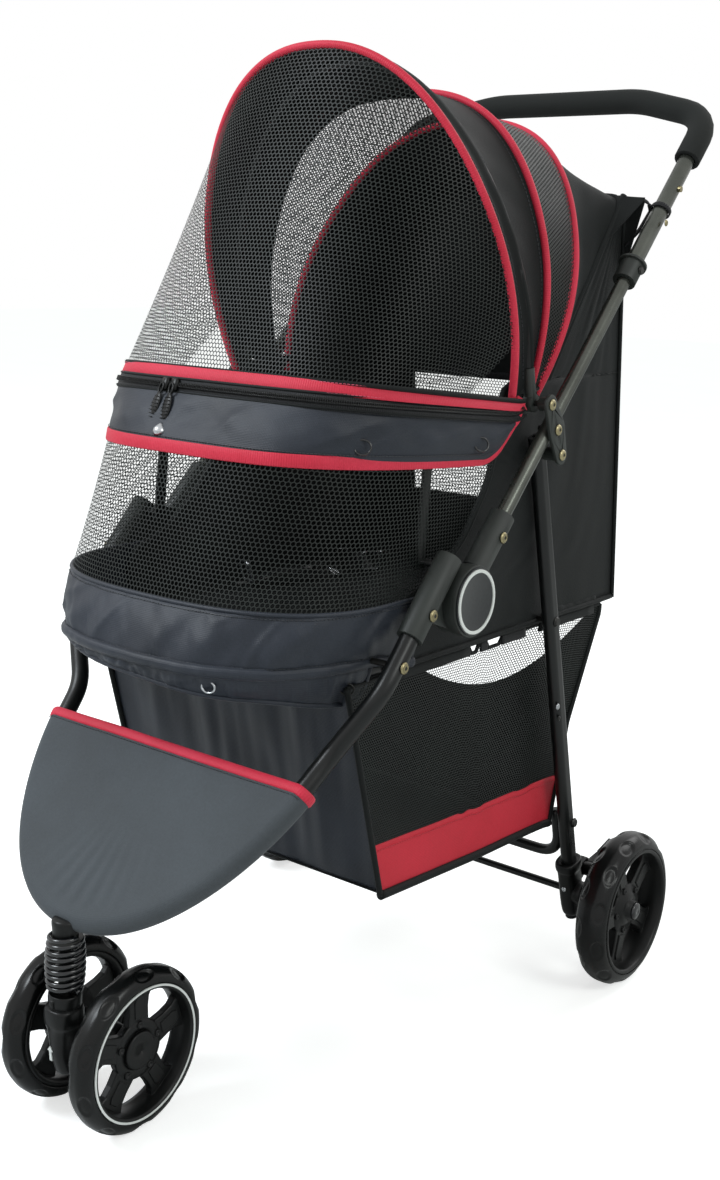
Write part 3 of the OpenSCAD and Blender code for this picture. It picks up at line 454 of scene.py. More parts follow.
def outward(o):
    """Merges doubles and turns the faces outwards."""
    bm = bmesh.new()
    bm.from_mesh(o.data)
    bmesh.ops.remove_doubles(bm, verts=bm.verts, dist=1e-6)
    bmesh.ops.recalc_face_normals(bm, faces=bm.faces)
    bm.to_mesh(o.data)
    bm.free()
    return o


def surface(name, fn, nu, nv, material, thick=1.2, centre=None):
    """A cloth sheet from fn(u, v) in metres. Its UVs are real lengths, and it gets its thickness inwards."""
    rows = [[fn(i / nu, j / nv) for i in range(nu + 1)] for j in range(nv + 1)]
    verts, uvs = [], []
    lengths = []
    for row in rows:
        run = [0.0]
        for a, b in zip(row, row[1:]):
            run.append(run[-1] + (b - a).length)
        lengths.append(run)
    mid = len(rows[0]) // 2
    climb = [0.0]
    for a, b in zip(rows, rows[1:]):
        climb.append(climb[-1] + max((b[mid] - a[mid]).length, (b[0] - a[0]).length * 0.5))
    longest = max(r[-1] for r in lengths)
    for j, row in enumerate(rows):
        for i, p in enumerate(row):
            verts.append(p)
            uvs.append((longest * i / nu, climb[j]))
    w = nu + 1
    faces = [(j * w + i, j * w + i + 1, (j + 1) * w + i + 1, (j + 1) * w + i) for j in range(nv) for i in range(nu)]
    if centre is not None:
        f = faces[len(faces) // 2 + nu // 2]
        n = (verts[f[1]] - verts[f[0]]).cross(verts[f[3]] - verts[f[0]])
        if n.dot(verts[f[0]] - centre) < 0:
            faces = [tuple(reversed(q)) for q in faces]
    o = piece(name, verts, faces, material, uvs)
    if thick:
        settle(o, solidify={"thickness": thick * MM, "offset": -1.0, "use_even_offset": False})
    return o


def frames(points, hint):
    """Tangent, normal and side at each point of a path. hint is a direction, or a list of normals."""
    out = []
    for i in range(len(points)):
        t = (points[min(i + 1, len(points) - 1)] - points[max(i - 1, 0)]).normalized()
        h = hint[i] if isinstance(hint, list) else hint
        n = (h - t * h.dot(t)).normalized()
        out.append((t, n, t.cross(n)))
    return out


def sweep(name, points, hint, profile, material, ends=True, scale=None):
    """A closed profile of (along normal, along side) pairs in millimetres, carried along a path."""
    fr = frames(points, hint)
    verts, uvs = [], []
    run, around = 0.0, [0.0]
    for (a, b), (c, d) in zip(profile, profile[1:] + profile[:1]):
        around.append(around[-1] + math.hypot(c - a, d - b) * MM)
    k = len(profile)
    for i, (p, (_, n, s)) in enumerate(zip(points, fr)):
        if i:
            run += (p - points[i - 1]).length
        g = scale(i / (len(points) - 1)) if scale else 1.0
        for j, (a, b) in enumerate(profile):
            verts.append(p + n * (a * g * MM) + s * (b * g * MM))
            uvs.append((run, around[j]))
    faces = ring_faces(len(points), k) + (end_faces(len(points), k) if ends else [])
    return outward(piece(name, verts, faces, material, uvs))


def circle(r, k=14, flat=1.0):
    """Cross-section of a cord or tube; flat is its second radius over its first."""
    return [(r * math.cos(TURN * j / k), r * flat * math.sin(TURN * j / k)) for j in range(k)]


def tape(width, thick, k=3):
    """Cross-section of a flat tape with round edges, lying across the normal."""
    out = []
    for side in (1, -1):
        for q in range(k + 1):
            a = math.pi * (q / k - 0.5)
            out.append((side * -math.sin(a) * thick / 2, side * (width / 2 - thick / 2 + math.cos(a) * thick / 2)))
    return out


def revolve(name, profile, centre, material, k=96, axis="x", shade=True):
    """A closed ring profile of (radius, along) pairs in millimetres turned about an axis through centre."""
    verts, uvs = [], []
    n = len(profile)
    for i in range(k):
        a = TURN * i / k
        for j, (r, x) in enumerate(profile):
            c, s = math.cos(a) * r * MM, math.sin(a) * r * MM
            off = Vector((x * MM, c, s)) if axis == "x" else Vector((c, s, x * MM))
            verts.append(centre + off)
            uvs.append((a * 0.07, j * 0.004))
    return outward(piece(name, verts, ring_faces(k, n, True), material, uvs, shade))


def join(name, objects):
    """One object from several, which are removed."""
    bm = bmesh.new()
    mats = []
    for o in objects:
        start = len(bm.faces)
        bm.from_mesh(o.data)
        bm.faces.ensure_lookup_table()
        local = list(o.data.materials)
        for mt in local:
            if mt not in mats:
                mats.append(mt)
        for f in bm.faces[start:]:
            f.material_index = mats.index(local[min(f.material_index, len(local) - 1)])
    me = bpy.data.meshes.new(name)
    bm.to_mesh(me)
    bm.free()
    for mt in mats:
        me.materials.append(mt)
    for o in objects:
        old = o.data
        bpy.data.objects.remove(o)
        bpy.data.meshes.remove(old)
    return into_scene(name, me)


# ---------------------------------------------------------------- repeated things by geometry nodes
def tree_with(name, inputs):
    """A geometry node tree with a geometry input and named sizes."""
    t = bpy.data.node_groups.new(name, "GeometryNodeTree")
    t.interface.new_socket("Geometry", in_out="INPUT", socket_type="NodeSocketGeometry")
    for key, kind, value in inputs:
        s = t.interface.new_socket(key, in_out="INPUT", socket_type=kind)
        if value is not None:
            s.default_value = value
    t.interface.new_socket("Geometry", in_out="OUTPUT", socket_type="NodeSocketGeometry")
    return t, t.nodes.new("NodeGroupInput"), t.nodes.new("NodeGroupOutput")


def end_tree(t, geometry, material, out):
    """Ends a tree: instances made real, and one material for them."""
    real = add(t, "GeometryNodeRealizeInstances", {"Geometry": geometry})
    done = add(t, "GeometryNodeSetMaterial", {"Geometry": real.outputs[0], "Material": material})
    t.links.new(done.outputs[0], out.inputs["Geometry"])
    return t


def run_tree(o, tree, **values):
    """Runs a tree on an object with the named sizes and keeps the result as a plain mesh."""
    m = o.modifiers.new(tree.name, "NODES")
    m.node_group = tree
    ids = {i.name: i.identifier for i in tree.interface.items_tree if i.in_out == "INPUT"}
    for key, value in values.items():
        m[ids[key]] = value
    return keep_result(o)


def netting_tree():
    """Hexagonal net: the dual of a triangle lattice, each cell with a hole of the given share."""
    t, i, out = tree_with("netting", [("Hole", "NodeSocketFloat", 0.76), ("Thread", "NodeSocketMaterial", None)])
    dual = add(t, "GeometryNodeDualMesh", {"Mesh": i.outputs["Geometry"], "Keep Boundaries": False})
    rim = add(t, "GeometryNodeExtrudeMesh", {"Mesh": dual.outputs[0], "Offset Scale": 0.0, "Individual": True},
              mode="FACES")
    inner = add(t, "GeometryNodeScaleElements", {"Geometry": rim.outputs["Mesh"], "Selection": rim.outputs["Top"],
                                                 "Scale": i.outputs["Hole"]}, domain="FACE")
    cut = add(t, "GeometryNodeDeleteGeometry", {"Geometry": inner.outputs[0], "Selection": rim.outputs["Top"]},
              domain="FACE")
    return end_tree(t, cut.outputs[0], i.outputs["Thread"], out)


def run_along_tree():
    """Small rods at a pitch along a path: stitches along it, or zip teeth across it."""
    t, i, out = tree_with("rods_along_path", [
        ("Pitch", "NodeSocketFloat", 0.004), ("Long", "NodeSocketFloat", 0.0026), ("Thick", "NodeSocketFloat", 0.0006),
        ("Across", "NodeSocketBool", False), ("Finish", "NodeSocketMaterial", None)])
    path = add(t, "GeometryNodeMeshToCurve", {"Mesh": i.outputs["Geometry"]})
    dots = add(t, "GeometryNodeCurveToPoints", {"Curve": path.outputs[0], "Length": i.outputs["Pitch"]}, mode="LENGTH")
    rod = add(t, "GeometryNodeMeshCylinder", {"Vertices": 5, "Radius": i.outputs["Thick"], "Depth": i.outputs["Long"]})
    up = add(t, "GeometryNodeInputNamedAttribute", {"Name": "up"}, data_type="FLOAT_VECTOR")
    tangent = dots.outputs["Tangent"]
    side = add(t, "ShaderNodeVectorMath", {0: tangent, 1: up.outputs[0]}, operation="CROSS_PRODUCT").outputs[0]
    pick = add(t, "GeometryNodeSwitch", {"Switch": i.outputs["Across"], "False": tangent, "True": side},
               input_type="VECTOR")
    turn = add(t, "FunctionNodeAlignRotationToVector", {"Vector": pick.outputs[0]}, axis="Z")
    put = add(t, "GeometryNodeInstanceOnPoints", {"Points": dots.outputs["Points"], "Instance": rod.outputs["Mesh"],
                                                  "Rotation": turn.outputs[0]})
    return end_tree(t, put.outputs[0], i.outputs["Finish"], out)


def heads_tree():
    """Domed heads on points, each turned to face along the point's own axis."""
    t, i, out = tree_with("rivet_heads", [("Head", "NodeSocketObject", None), ("Finish", "NodeSocketMaterial", None)])
    info = add(t, "GeometryNodeObjectInfo", {"Object": i.outputs["Head"]}, transform_space="ORIGINAL")
    axis = add(t, "GeometryNodeInputNamedAttribute", {"Name": "axis"}, data_type="FLOAT_VECTOR")
    size = add(t, "GeometryNodeInputNamedAttribute", {"Name": "size"}, data_type="FLOAT")
    turn = add(t, "FunctionNodeAlignRotationToVector", {"Vector": axis.outputs[0]}, axis="Z")
    points = add(t, "GeometryNodeMeshToPoints", {"Mesh": i.outputs["Geometry"]})
    put = add(t, "GeometryNodeInstanceOnPoints", {"Points": points.outputs[0], "Instance": info.outputs["Geometry"],
                                                  "Rotation": turn.outputs[0], "Scale": size.outputs[0]})
    return end_tree(t, put.outputs[0], i.outputs["Finish"], out)


NETTING, RODS, HEADS = netting_tree(), run_along_tree(), heads_tree()


def rods(name, points, ups, pitch, long, thick, finish, across=False):
    """Stitches or teeth along a path; ups is the outward direction at each point."""
    me = bpy.data.meshes.new(name)
    me.from_pydata([tuple(p) for p in points], [(i, i + 1) for i in range(len(points) - 1)], [])
    at_point = me.attributes.new("up", "FLOAT_VECTOR", "POINT")
    for k, u in enumerate(ups):
        at_point.data[k].vector = u
    o = into_scene(name, me)
    run_tree(o, RODS, Pitch=pitch * MM, Long=long * MM, Thick=thick * MM, Across=across, Finish=finish)
    return o


def stitches(name, points, ups, finish=RED_THREAD, pitch=4.2, lift=0.5):
    """A row of sewn stitches lifted off the cloth."""
    return rods(name, [p + u * lift * MM for p, u in zip(points, ups)], ups, pitch, 2.6, 0.42, finish)


def length(points):
    """Length of a polyline."""
    return sum((b - a).length for a, b in zip(points, points[1:]))


def edge_of(curve, shape, t0=0.0, t1=1.0, n=161):
    """Evenly spaced points of an arch or a wall edge between two shares of it."""
    return even([curve(shape, lerp(t0, t1, i / 600)) for i in range(601)], n)


def ruled(low, high):
    """Straight surface between two lines."""
    return lambda u, v: on(low, u).lerp(on(high, u), v)


def worked(fn, centre, bulge=0.0, folds=0.0, freq=(14, 1.5), seed=0.0, skew=0.0, calm=(0.0, 0.0), crease=0.0):
    """The same sheet pushed outwards in its middle, with soft folds and sharper creases, all in millimetres.
    calm is how much of its lower and upper edges stays smooth."""
    def out(u, v):
        """The same surface with its bulge and folds."""
        p = fn(u, v)
        n = (p - centre).normalized()
        d = bulge * math.sin(math.pi * clamp(v))
        if folds:
            near = smooth((v - calm[0]) / 0.22) * smooth((1 - v - calm[1]) / 0.22) if calm[0] else (
                math.sin(math.pi * clamp(v)) ** 0.5 * 0.85 + 0.15)
            r = noise.noise(Vector((u * freq[0] * 0.8 + v * skew * 0.8, v * 0.9, seed + 13)))
            d += crease * near * (1 - min(abs(r) * 3.2, 1)) ** 2
            a = noise.noise(Vector((u * freq[0] + v * skew, v * freq[1], seed)))
            b = noise.noise(Vector((u * freq[0] * 2.3 - v * skew * 1.7, v * freq[1] * 2.1, seed + 7)))
            d += folds * near * (a + 0.45 * b)
        return p + n * d * MM
    return out


def outs(points, centre):
    """Outward directions at points, away from a centre."""
    return [(p - centre).normalized() for p in points]


def trim(o, keep):
    """Takes away the faces whose middle keep() refuses."""
    bm = bmesh.new()
    bm.from_mesh(o.data)
    bmesh.ops.delete(bm, geom=[f for f in bm.faces if not keep(f.calc_center_median())], context="FACES")
    bm.to_mesh(o.data)
    bm.free()
    return o


def thicken(o, t=1.2):
    """Gives a sheet its thickness, in millimetres."""
    return settle(o, solidify={"thickness": t * MM, "offset": -1.0})


def place(o, body, *nodes):
    """Puts a piece on a body, in place of CAD nodes where any are given."""
    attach(o, body)
    if nodes:
        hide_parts(*nodes)
    return o


# Least share of its flat rectangle that a sheet is declared with; open nets have less thread than this
LEAST_CUT = 0.301
# Distance between the rows of a hexagonal net over the distance between its cells
NET_ROW = 0.8660254
# Height in millimetres that the cloth would fold down to, and the share of its own height that it would keep
WALL_FOLD, BASKET_FOLD = (412, 0.31), (409, 0.15)


def fold_down(o, height, keep):
    """Hangs a cloth on the floor frame and gives it a mesh of its own."""
    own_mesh(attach(o, "floor_frame"))


def declare(o, flat=None):
    """Works out the flat size and area of the cloth a sheet was cut from, and keeps neither. Its flat size comes from
    its own lengths along the cloth, and its area from its own mesh, held between LEAST_CUT and the whole of that
    rectangle."""
    me = o.data
    area = sum(p.area for p in me.polygons)
    if flat is None:
        layer = me.uv_layers[0].data
        us = [d.uv[0] for d in layer]
        vs = [d.uv[1] for d in layer]
        flat = (max(us) - min(us), max(vs) - min(vs))
        area /= 2
    whole = flat[0] * flat[1]
    area = clamp(area, LEAST_CUT * whole, whole)


def netted(name, low, high, pitch, hole=0.76, lift=None):
    """A net between two evenly spaced edges, its rows at a real distance from each other."""
    nu = max(4, round((length(low) + length(high)) / 2 / (pitch * MM)))
    step = pitch * NET_ROW * MM
    span = [(on(high, k / 60) - on(low, k / 60)).length for k in range(61)]
    nv = int(max(span) / step) + 3
    verts, cut, faces = [], [], []
    for j in range(nv + 1):
        for i in range(nu + 1):
            u = clamp((i + (0.5 if j % 2 else 0.0) - 0.25) / nu)
            a, b = on(low, u), on(high, u)
            d = max((b - a).length, 1e-4)
            v = ((j - 1) * step) / d
            cut.append(v > 1 + step / d)
            v = min(v, 1 + step / d)
            p = a + (b - a) * v
            if lift:
                p = p + lift(u, clamp(v))
            verts.append(p)
    w = nu + 1
    for j in range(nv):
        for i in range(nu):
            a, b, c, d = j * w + i, j * w + i + 1, (j + 1) * w + i, (j + 1) * w + i + 1
            for f in (((a, b, d), (a, d, c)) if j % 2 else ((a, b, c), (b, d, c))):
                if not all(cut[k] for k in f):
                    faces.append(f)
    o = piece(name, verts, faces, NET_THREAD)
    bm = bmesh.new()
    bm.from_mesh(o.data)
    bmesh.ops.delete(bm, geom=[v for v in bm.verts if not v.link_faces], context="VERTS")
    bm.to_mesh(o.data)
    bm.free()
    run_tree(o, NETTING, Hole=hole, Thread=NET_THREAD)
    return o


CABIN = at(0, 400, 560)
CANOPY = at(0, 400, 640)

# ---------------------------------------------------------------- canopy
def longer(points, extra):
    """The same line with straight ends added, in millimetres."""
    a = points[0] + (points[0] - points[2]).normalized() * extra * MM
    b = points[-1] + (points[-1] - points[-3]).normalized() * extra * MM
    return even([a] + points + [b], len(points))


LINE_A = longer(edge_of(arch, ARCH_A), 21)
LINE_M = longer(edge_of(arch, ARCH_M), 14)
LINE_B = longer(edge_of(arch, ARCH_B), 15)
LINE_C = longer(edge_of(arch, ARCH_C), 8)
LINE_D = edge_of(arch, (*ARCH_D[:5], 26, 30, 1))
M_AT = 0.38


def canopy_front(u, v):
    """From the front edge over the main bow to the middle bow, drawn in a little between the bows."""
    a, m, b = on(LINE_A, u), on(LINE_M, u), on(LINE_B, u)
    if v < M_AT:
        w = v / M_AT
        p = a.lerp(m, w)
    else:
        w = (v - M_AT) / (1 - M_AT)
        p = m.lerp(b, w)
    out = (p - CANOPY).normalized()
    over = 6.2 * math.exp(-((v - M_AT) / 0.055) ** 2)
    over -= 3.4 * math.sin(math.pi * w) * math.sin(math.pi * clamp(u)) ** 0.5
    over += 1.5 * noise.noise(Vector((u * 26, v * 2.2, 3.1))) * math.sin(math.pi * clamp(v)) ** 0.5
    return p + out * over * MM


front_cloth = surface("canopy_front_cloth", canopy_front, 180, 34, BLACK_CLOTH, 1.2, CANOPY)
pipe_a = sweep("canopy_front_piping", LINE_A, outs(LINE_A, CANOPY), circle(4.0, 12), RED_TAPE)
ups = outs(LINE_B, CANOPY)
pipe_b = sweep("canopy_middle_piping", [p + q * 3.0 * MM for p, q in zip(LINE_B, ups)], ups, circle(3.8, 12), RED_TAPE)
hem_b = sweep("canopy_middle_hem", [p - q * 1.6 * MM for p, q in zip(LINE_B, ups)], ups, tape(10, 2.0), BLACK_CLOTH)
place(hem_b, "canopy_front")
for k, v in enumerate((0.09, M_AT - 0.13, M_AT + 0.1, 0.93)):
    path = [canopy_front(i / 240, v) for i in range(4, 237)]
    place(stitches(f"canopy_front_stitches_{k + 1}", path, outs(path, CANOPY),
                                BLACK_THREAD, 4.4), "canopy_front")
place(front_cloth, "canopy_front", "canopy_front_panel")
place(pipe_a, "canopy_front", "front_bow")
place(pipe_b, "canopy_front", "middle_bow")
declare(front_cloth)

canopy_net = netted("canopy_side_netting", LINE_B, LINE_C, 3.8, 0.56)
flat_net = ((length(LINE_B) + length(LINE_C)) / 2, (on(LINE_B, 0.5) - on(LINE_C, 0.5)).length)
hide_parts("canopy_mesh_panel")
on(LINE_C, 0.5)
on(LINE_B, 0.5)
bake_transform(canopy_net)
declare(canopy_net, flat_net)

pipe_c = sweep("canopy_rear_piping", LINE_C, outs(LINE_C, CANOPY), circle(3.9, 12), RED_TAPE)
place(pipe_c, "canopy_rear")


def canopy_back(u, v):
    """Cloth behind the canopy's rear bow, down to its last edge."""
    p = on(LINE_C, u).lerp(on(LINE_D, u), v)
    out = (p - at(0, 440, 640)).normalized()
    d = -2.5 * math.sin(math.pi * clamp(v)) ** 0.8 * math.sin(math.pi * clamp(u)) ** 0.4
    d += 2.6 * noise.noise(Vector((u * 13 + v * 2.0, v * 2.4, 5.5))) * math.sin(math.pi * clamp(v)) ** 0.5
    return p + out * d * MM


back_cloth = surface("canopy_rear_cloth", canopy_back, 180, 30, BLACK_CLOTH, 1.2, CANOPY)
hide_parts("canopy_rear_panel")
on(LINE_D, 0.5)
on(LINE_C, 0.5)
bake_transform(back_cloth)
path = [canopy_back(i / 240, 0.06) for i in range(6, 235)]
back_seam = place(stitches("canopy_rear_stitches", path, outs(path, CANOPY), BLACK_THREAD, 4.4), "canopy_rear")
declare(back_cloth)
pipe_d = sweep("canopy_rear_hem", LINE_D, outs(LINE_D, CANOPY), circle(3.0, 10), BLACK_CLOTH)
place(pipe_d, "handle")

# netting of the front opening, from the belt up to the canopy's front edge
LOW_TOP = edge_of(plan, PLAN_TOP, 0.06, 0.94)
HIGH_A = edge_of(arch, ARCH_A, 0.035, 0.965)
front_net = netted("front_opening_netting", LOW_TOP, HIGH_A, 4.7, 0.77)
place(front_net, "canopy_front", "front_mesh")
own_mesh(front_net)
declare(front_net,
        ((length(LOW_TOP) + length(HIGH_A)) / 2, (on(LOW_TOP, 0.5) - on(HIGH_A, 0.5)).length))

# ---------------------------------------------------------------- belt
BELT_LOW, BELT_TOP = edge_of(plan, PLAN_BELT), edge_of(plan, PLAN_TOP)
CORNER = 28.0


def belt_floor(u):
    """Where the belt's lower edge lies at u: its two lower corners are round."""
    run = length(BELT_LOW) / MM
    d = min(u, 1 - u) * run
    if d >= CORNER:
        return 0.0
    tall = (on(BELT_TOP, u) - on(BELT_LOW, u)).length / MM
    return (CORNER - math.sqrt(max(CORNER ** 2 - (CORNER - d) ** 2, 0))) / tall


def belt_plain(u, v):
    """Surface of the belt without its folds."""
    v = lerp(belt_floor(u), 1, v)
    return on(BELT_LOW, u).lerp(on(BELT_TOP, u), v)


belt_fn = worked(belt_plain, CABIN, bulge=3.5, folds=3.2, freq=(13, 1.4), seed=2.0, skew=2.0, calm=(0.15, 0.30),
                 crease=1.6)
belt = surface("belt_cloth", belt_fn, 190, 26, NAVY_CLOTH, 1.4, CABIN)


def on_belt(v, lift=0.8, n=200, u0=0.0, u1=1.0):
    """Line along the belt at the height v, with its outward directions."""
    pts = [belt_fn(lerp(u0, u1, i / n), v) for i in range(n + 1)]
    ups = outs(pts, CABIN)
    return [p + q * lift * MM for p, q in zip(pts, ups)], ups


belt_parts = []
edge = [belt_fn(0, 1 - k / 24) for k in range(24)] + [belt_fn(i / 220, 0) for i in range(221)]
edge += [belt_fn(1, k / 24) for k in range(1, 25)]
edge = even(edge, 240)
ups = outs(edge, CABIN)
belt_parts.append(sweep("belt_lower_binding", [p + q * 0.9 * MM for p, q in zip(edge, ups)], ups,
                        [(a, b + 5.0) for a, b in tape(12.5, 2.6)], RED_TAPE))
path, ups = on_belt(0.925)
belt_parts.append(sweep("belt_upper_stripe", path, ups, tape(13.5, 1.4), RED_TAPE))
path, ups = on_belt(1.0, 0.2)
belt_parts.append(sweep("belt_top_edge", path, ups, circle(2.6, 8), BLACK_CLOTH))
path, ups = on_belt(0.765, 0.9)
belt_parts.append(sweep("zip_tape", path, ups, tape(17, 1.2), WEBBING))
for k, off in enumerate((-6.6, 6.6)):
    belt_parts.append(sweep(f"zip_seam_{k + 1}", path, ups, [(a + 0.8, b + off) for a, b in circle(1.0, 6)],
                            BLACK_CLOTH))
for k, off in enumerate((-1.5, 1.5)):
    belt_parts.append(sweep(f"zip_coil_{k + 1}", path, ups, [(a + 1.5, b + off) for a, b in circle(1.3, 6)],
                            BLACK_NYLON))
teeth = rods("zip_teeth", [p + q * 2.9 * MM for p, q in zip(path, ups)], ups, 2.1, 4.6, 0.5, BLACK_NYLON, across=True)
belt_parts.append(teeth)
for k, (v, side) in enumerate(((0.86, RED_THREAD), (0.985, RED_THREAD), (0.16, BLACK_THREAD))):
    path, ups = on_belt(v, 1.6 if k < 2 else 0.6, 260, 0.02, 0.98)
    belt_parts.append(stitches(f"belt_stitches_{k + 1}", path, ups, side, 3.6))
for o in belt_parts:
    place(o, "handle")


def ring_on(name, centre, up, along, r, wire, material, squeeze=1.0, arc=1.0):
    """A wire ring that lies on a surface; arc is the share of the turn that is there."""
    side = up.cross(along).normalized()
    n = 36
    pts = [centre + (along * math.cos(TURN * arc * i / n) * r + side * math.sin(TURN * arc * i / n) * r * squeeze) * MM
           for i in range(n + (0 if arc == 1.0 else 1))]
    if arc == 1.0:
        pts.append(pts[0])
    return sweep(name, pts, up, circle(wire, 8), material, ends=arc != 1.0)


def on_belt_at(u, v, lift):
    """Place on the belt, lifted off the cloth, with its outward direction."""
    p = belt_fn(u, v)
    up = (p - CABIN).normalized()
    a = (belt_fn(u + 0.004, v) - belt_fn(u - 0.004, v)).normalized()
    a = (a - up * a.dot(up)).normalized()
    return p + up * lift * MM, up, a


for k, (u, v) in enumerate(((0.262, 0.26), (0.062, 0.30), (0.938, 0.30))):
    p, up, a = on_belt_at(u, v, 2.2)
    r = ring_on(f"belt_ring_{k + 1}", p, up, a, 7.5, 1.0, GLOSS_ABS, 0.9)
    belt_parts.append(place(r, "handle"))


def puller(name, u, v, tilt, drop):
    """Slider, loop and leaf-shaped grip of the zip; drop adds the small bright bead at its end."""
    p, up, a = on_belt_at(u, v, 3.2)
    down = a.cross(up).normalized()
    if down.z > 0:
        down = -down
    lean = (down + a * tilt).normalized()
    side = up.cross(lean).normalized()
    bits = []
    prof = [(0, -5.2), (2.2, -4.6), (2.6, 0), (2.2, 4.6), (0, 5.2), (-1.5, 4.6), (-1.5, -4.6)]
    bits.append(sweep("slider", [p + down * s * MM for s in (-6, -4.5, 0, 4.5, 6)], up, prof, BLACK_NYLON,
                      scale=lambda f: 0.72 + 0.28 * math.sin(math.pi * f)))
    bits.append(ring_on("loop", p + up * 3.2 * MM + lean * 5 * MM, up, lean, 5.2, 1.0, BLACK_NYLON, 0.55))
    leaf = [0.30, 0.62, 0.86, 0.97, 1.0, 0.98, 0.9, 0.74, 0.5, 0.22]
    pts = [p + up * (3.4 - 0.06 * i) * MM + lean * (9 + 3.4 * i) * MM for i in range(10)]
    leaf_prof = [(1.4, -2.5), (1.7, 0), (1.4, 2.5), (0.5, 5.6), (0, 6.0), (-0.8, 5.2), (-1.2, 0), (-0.8, -5.2),
                 (0, -6.0), (0.5, -5.6)]
    bits.append(sweep("leaf", pts, up, leaf_prof, BLACK_NYLON, scale=lambda f: leaf[min(int(f * 9.01), 9)]))
    for i in range(1, 8):
        c = p + up * 4.9 * MM + lean * (10.5 + 3.4 * i) * MM
        w = 4.7 * leaf[min(i, 9)]
        bits.append(sweep("ridge", [c - side * w * MM, c, c + side * w * MM], up, circle(0.45, 6), BLACK_NYLON))
    if drop:
        c = p + up * 4.0 * MM + lean * 47 * MM
        prof = [(0.05, -6.5), (4.3, -5.2), (6.6, -1.8), (6.4, 1.9), (3.8, 5.5), (1.7, 7.8), (0.05, 8.3)]
        ring = []
        for (r1, x1), (r2, x2) in zip(prof, prof[1:]):
            ring += [(r1, x1), ((r1 + r2) / 2 * 1.02, (x1 + x2) / 2)]
        ring.append(prof[-1])
        verts, k = [], 20
        for r, x in ring:
            for q in range(k):
                ang = TURN * q / k
                verts.append(c + (side * math.cos(ang) * r + up * math.sin(ang) * r - lean * x) * MM)
        faces = ring_faces(len(ring), k) + end_faces(len(ring), k)
        bits.append(outward(piece("bead", verts, faces, BRIGHT)))
    return join(name, bits)


near_u = min(range(400), key=lambda i: (belt_fn(i / 400, 0.76) - pivot("zip_pull_swing")).length) / 400
near_u -= 0.030
place(puller("zip_pull_with_bead", near_u, 0.765, -0.05, True), "zip", "zip_pull")
belt_parts.append(place(puller("zip_pull_second", near_u + 0.016, 0.765, 0.10, False), "handle"))
place(belt, "handle", "belt_band")
declare(belt)

# ---------------------------------------------------------------- front window and tub
TUB_TOP = longer(edge_of(plan, PLAN_TUB), 40)
WINDOW_LOW = longer(edge_of(plan, PLAN_TUB), 72)
window = netted("front_window_netting", WINDOW_LOW, BELT_LOW, 4.7, 0.77)
place(window, "floor_frame", "front_window")
declare(window,
        ((length(WINDOW_LOW) + length(BELT_LOW)) / 2, (on(WINDOW_LOW, 0.5) - on(BELT_LOW, 0.5)).length))

TUB_LOW = [p + Vector((0, 0, 12 * MM * smooth(i / 16) * smooth((138 - i) / 35)))
           for i, p in enumerate(longer(edge_of(plan, PLAN_LOW), 25))]
tub_fn = worked(ruled(TUB_LOW, TUB_TOP), at(0, 300, 440), bulge=5.0, folds=4.6, freq=(20, 0.8), seed=11.0, skew=1.2,
                crease=2.2)
tub = surface("tub_cloth", tub_fn, 200, 18, NAVY_CLOTH, 1.8, CABIN)
tub_parts = []
pts = [tub_fn(i / 200, 0.02) for i in range(201)]
tub_parts.append(sweep("tub_lower_hem", pts, outs(pts, CABIN), circle(5.2, 12, 1.15), NAVY_CLOTH))
pts = [tub_fn(i / 200, 1.0) for i in range(201)]
tub_parts.append(sweep("tub_upper_seam", pts, outs(pts, CABIN), circle(2.2, 8), NAVY_CLOTH))
for k, v in enumerate((0.13, 0.93)):
    pts = [tub_fn(lerp(0.005, 0.995, i / 300), v) for i in range(301)]
    tub_parts.append(stitches(f"tub_stitches_{k + 1}", pts, outs(pts, CABIN), BLACK_THREAD, 3.8, 0.7))


def flap_low(p):
    """Lower edge of the flap under the floor."""
    return Vector((p.x * 0.93, p.y + 0.012, p.z - 0.030 - 0.006 * noise.noise(p * 9)))


FLAP_TOP = [on(TUB_LOW, lerp(0.10, 0.70, i / 120)) - Vector((0, 0, 0.003)) for i in range(121)]
FLAP_LOW = []
for i, p in enumerate(FLAP_TOP):
    corner = math.sqrt(1 - (1 - clamp(i / 8)) ** 2)
    FLAP_LOW.append(p.lerp(flap_low(p), corner * (1.25 - 1.15 * i / 120)))
flap_fn = worked(ruled(FLAP_TOP, FLAP_LOW), at(0, 300, 440), bulge=2.0, folds=3.2, freq=(34, 1.0), seed=21.0)
flap = surface("underfloor_flap", flap_fn, 160, 8, NAVY_CLOTH, 1.2, CABIN)
pts = [flap_fn(i / 160, 1.0) for i in range(161)]
tub_parts.append(sweep("flap_piping", pts, outs(pts, CABIN), circle(2.4, 8), NAVY_CLOTH))
# The two snaps are alike: the first is black-oxide steel, and the second is given bright zinc as a painted glint where
# light catches it.
for k, (u, wire) in enumerate(((0.075, SHANK), (0.43, BRIGHT))):
    p = flap_fn(u, 0.5)
    up = (p - CABIN)
    up.z = 0
    up.normalize()
    tub_parts.append(ring_on(f"flap_snap_{k + 1}", p + up * 1.4 * MM, up, Vector((0, 0, 1)).cross(up).normalized(),
                             6.5, 1.0, wire, 0.8))
for o in tub_parts:
    place(o, "floor_frame")
place(flap, "floor_frame")
place(tub, "floor_frame", "tub")
declare(tub)
declare(flap)

# ---------------------------------------------------------------- side and rear walls of the cabin
WALL_FRONT = [at(166, 196, 413), at(174.5, 196, 472), at(177, 252, 492), at(178.5, 298, 526), at(178.5, 336, 575),
              at(177, 352, 615), at(172, 366, 664), at(167, 398, 672),
              at(165.6, 456, 671), at(164.5, 609, 866)]


def rear_y(z):
    """Where the side walls' rear edge is at the height z."""
    return lerp(638, 607, clamp((z - 416) / 452))


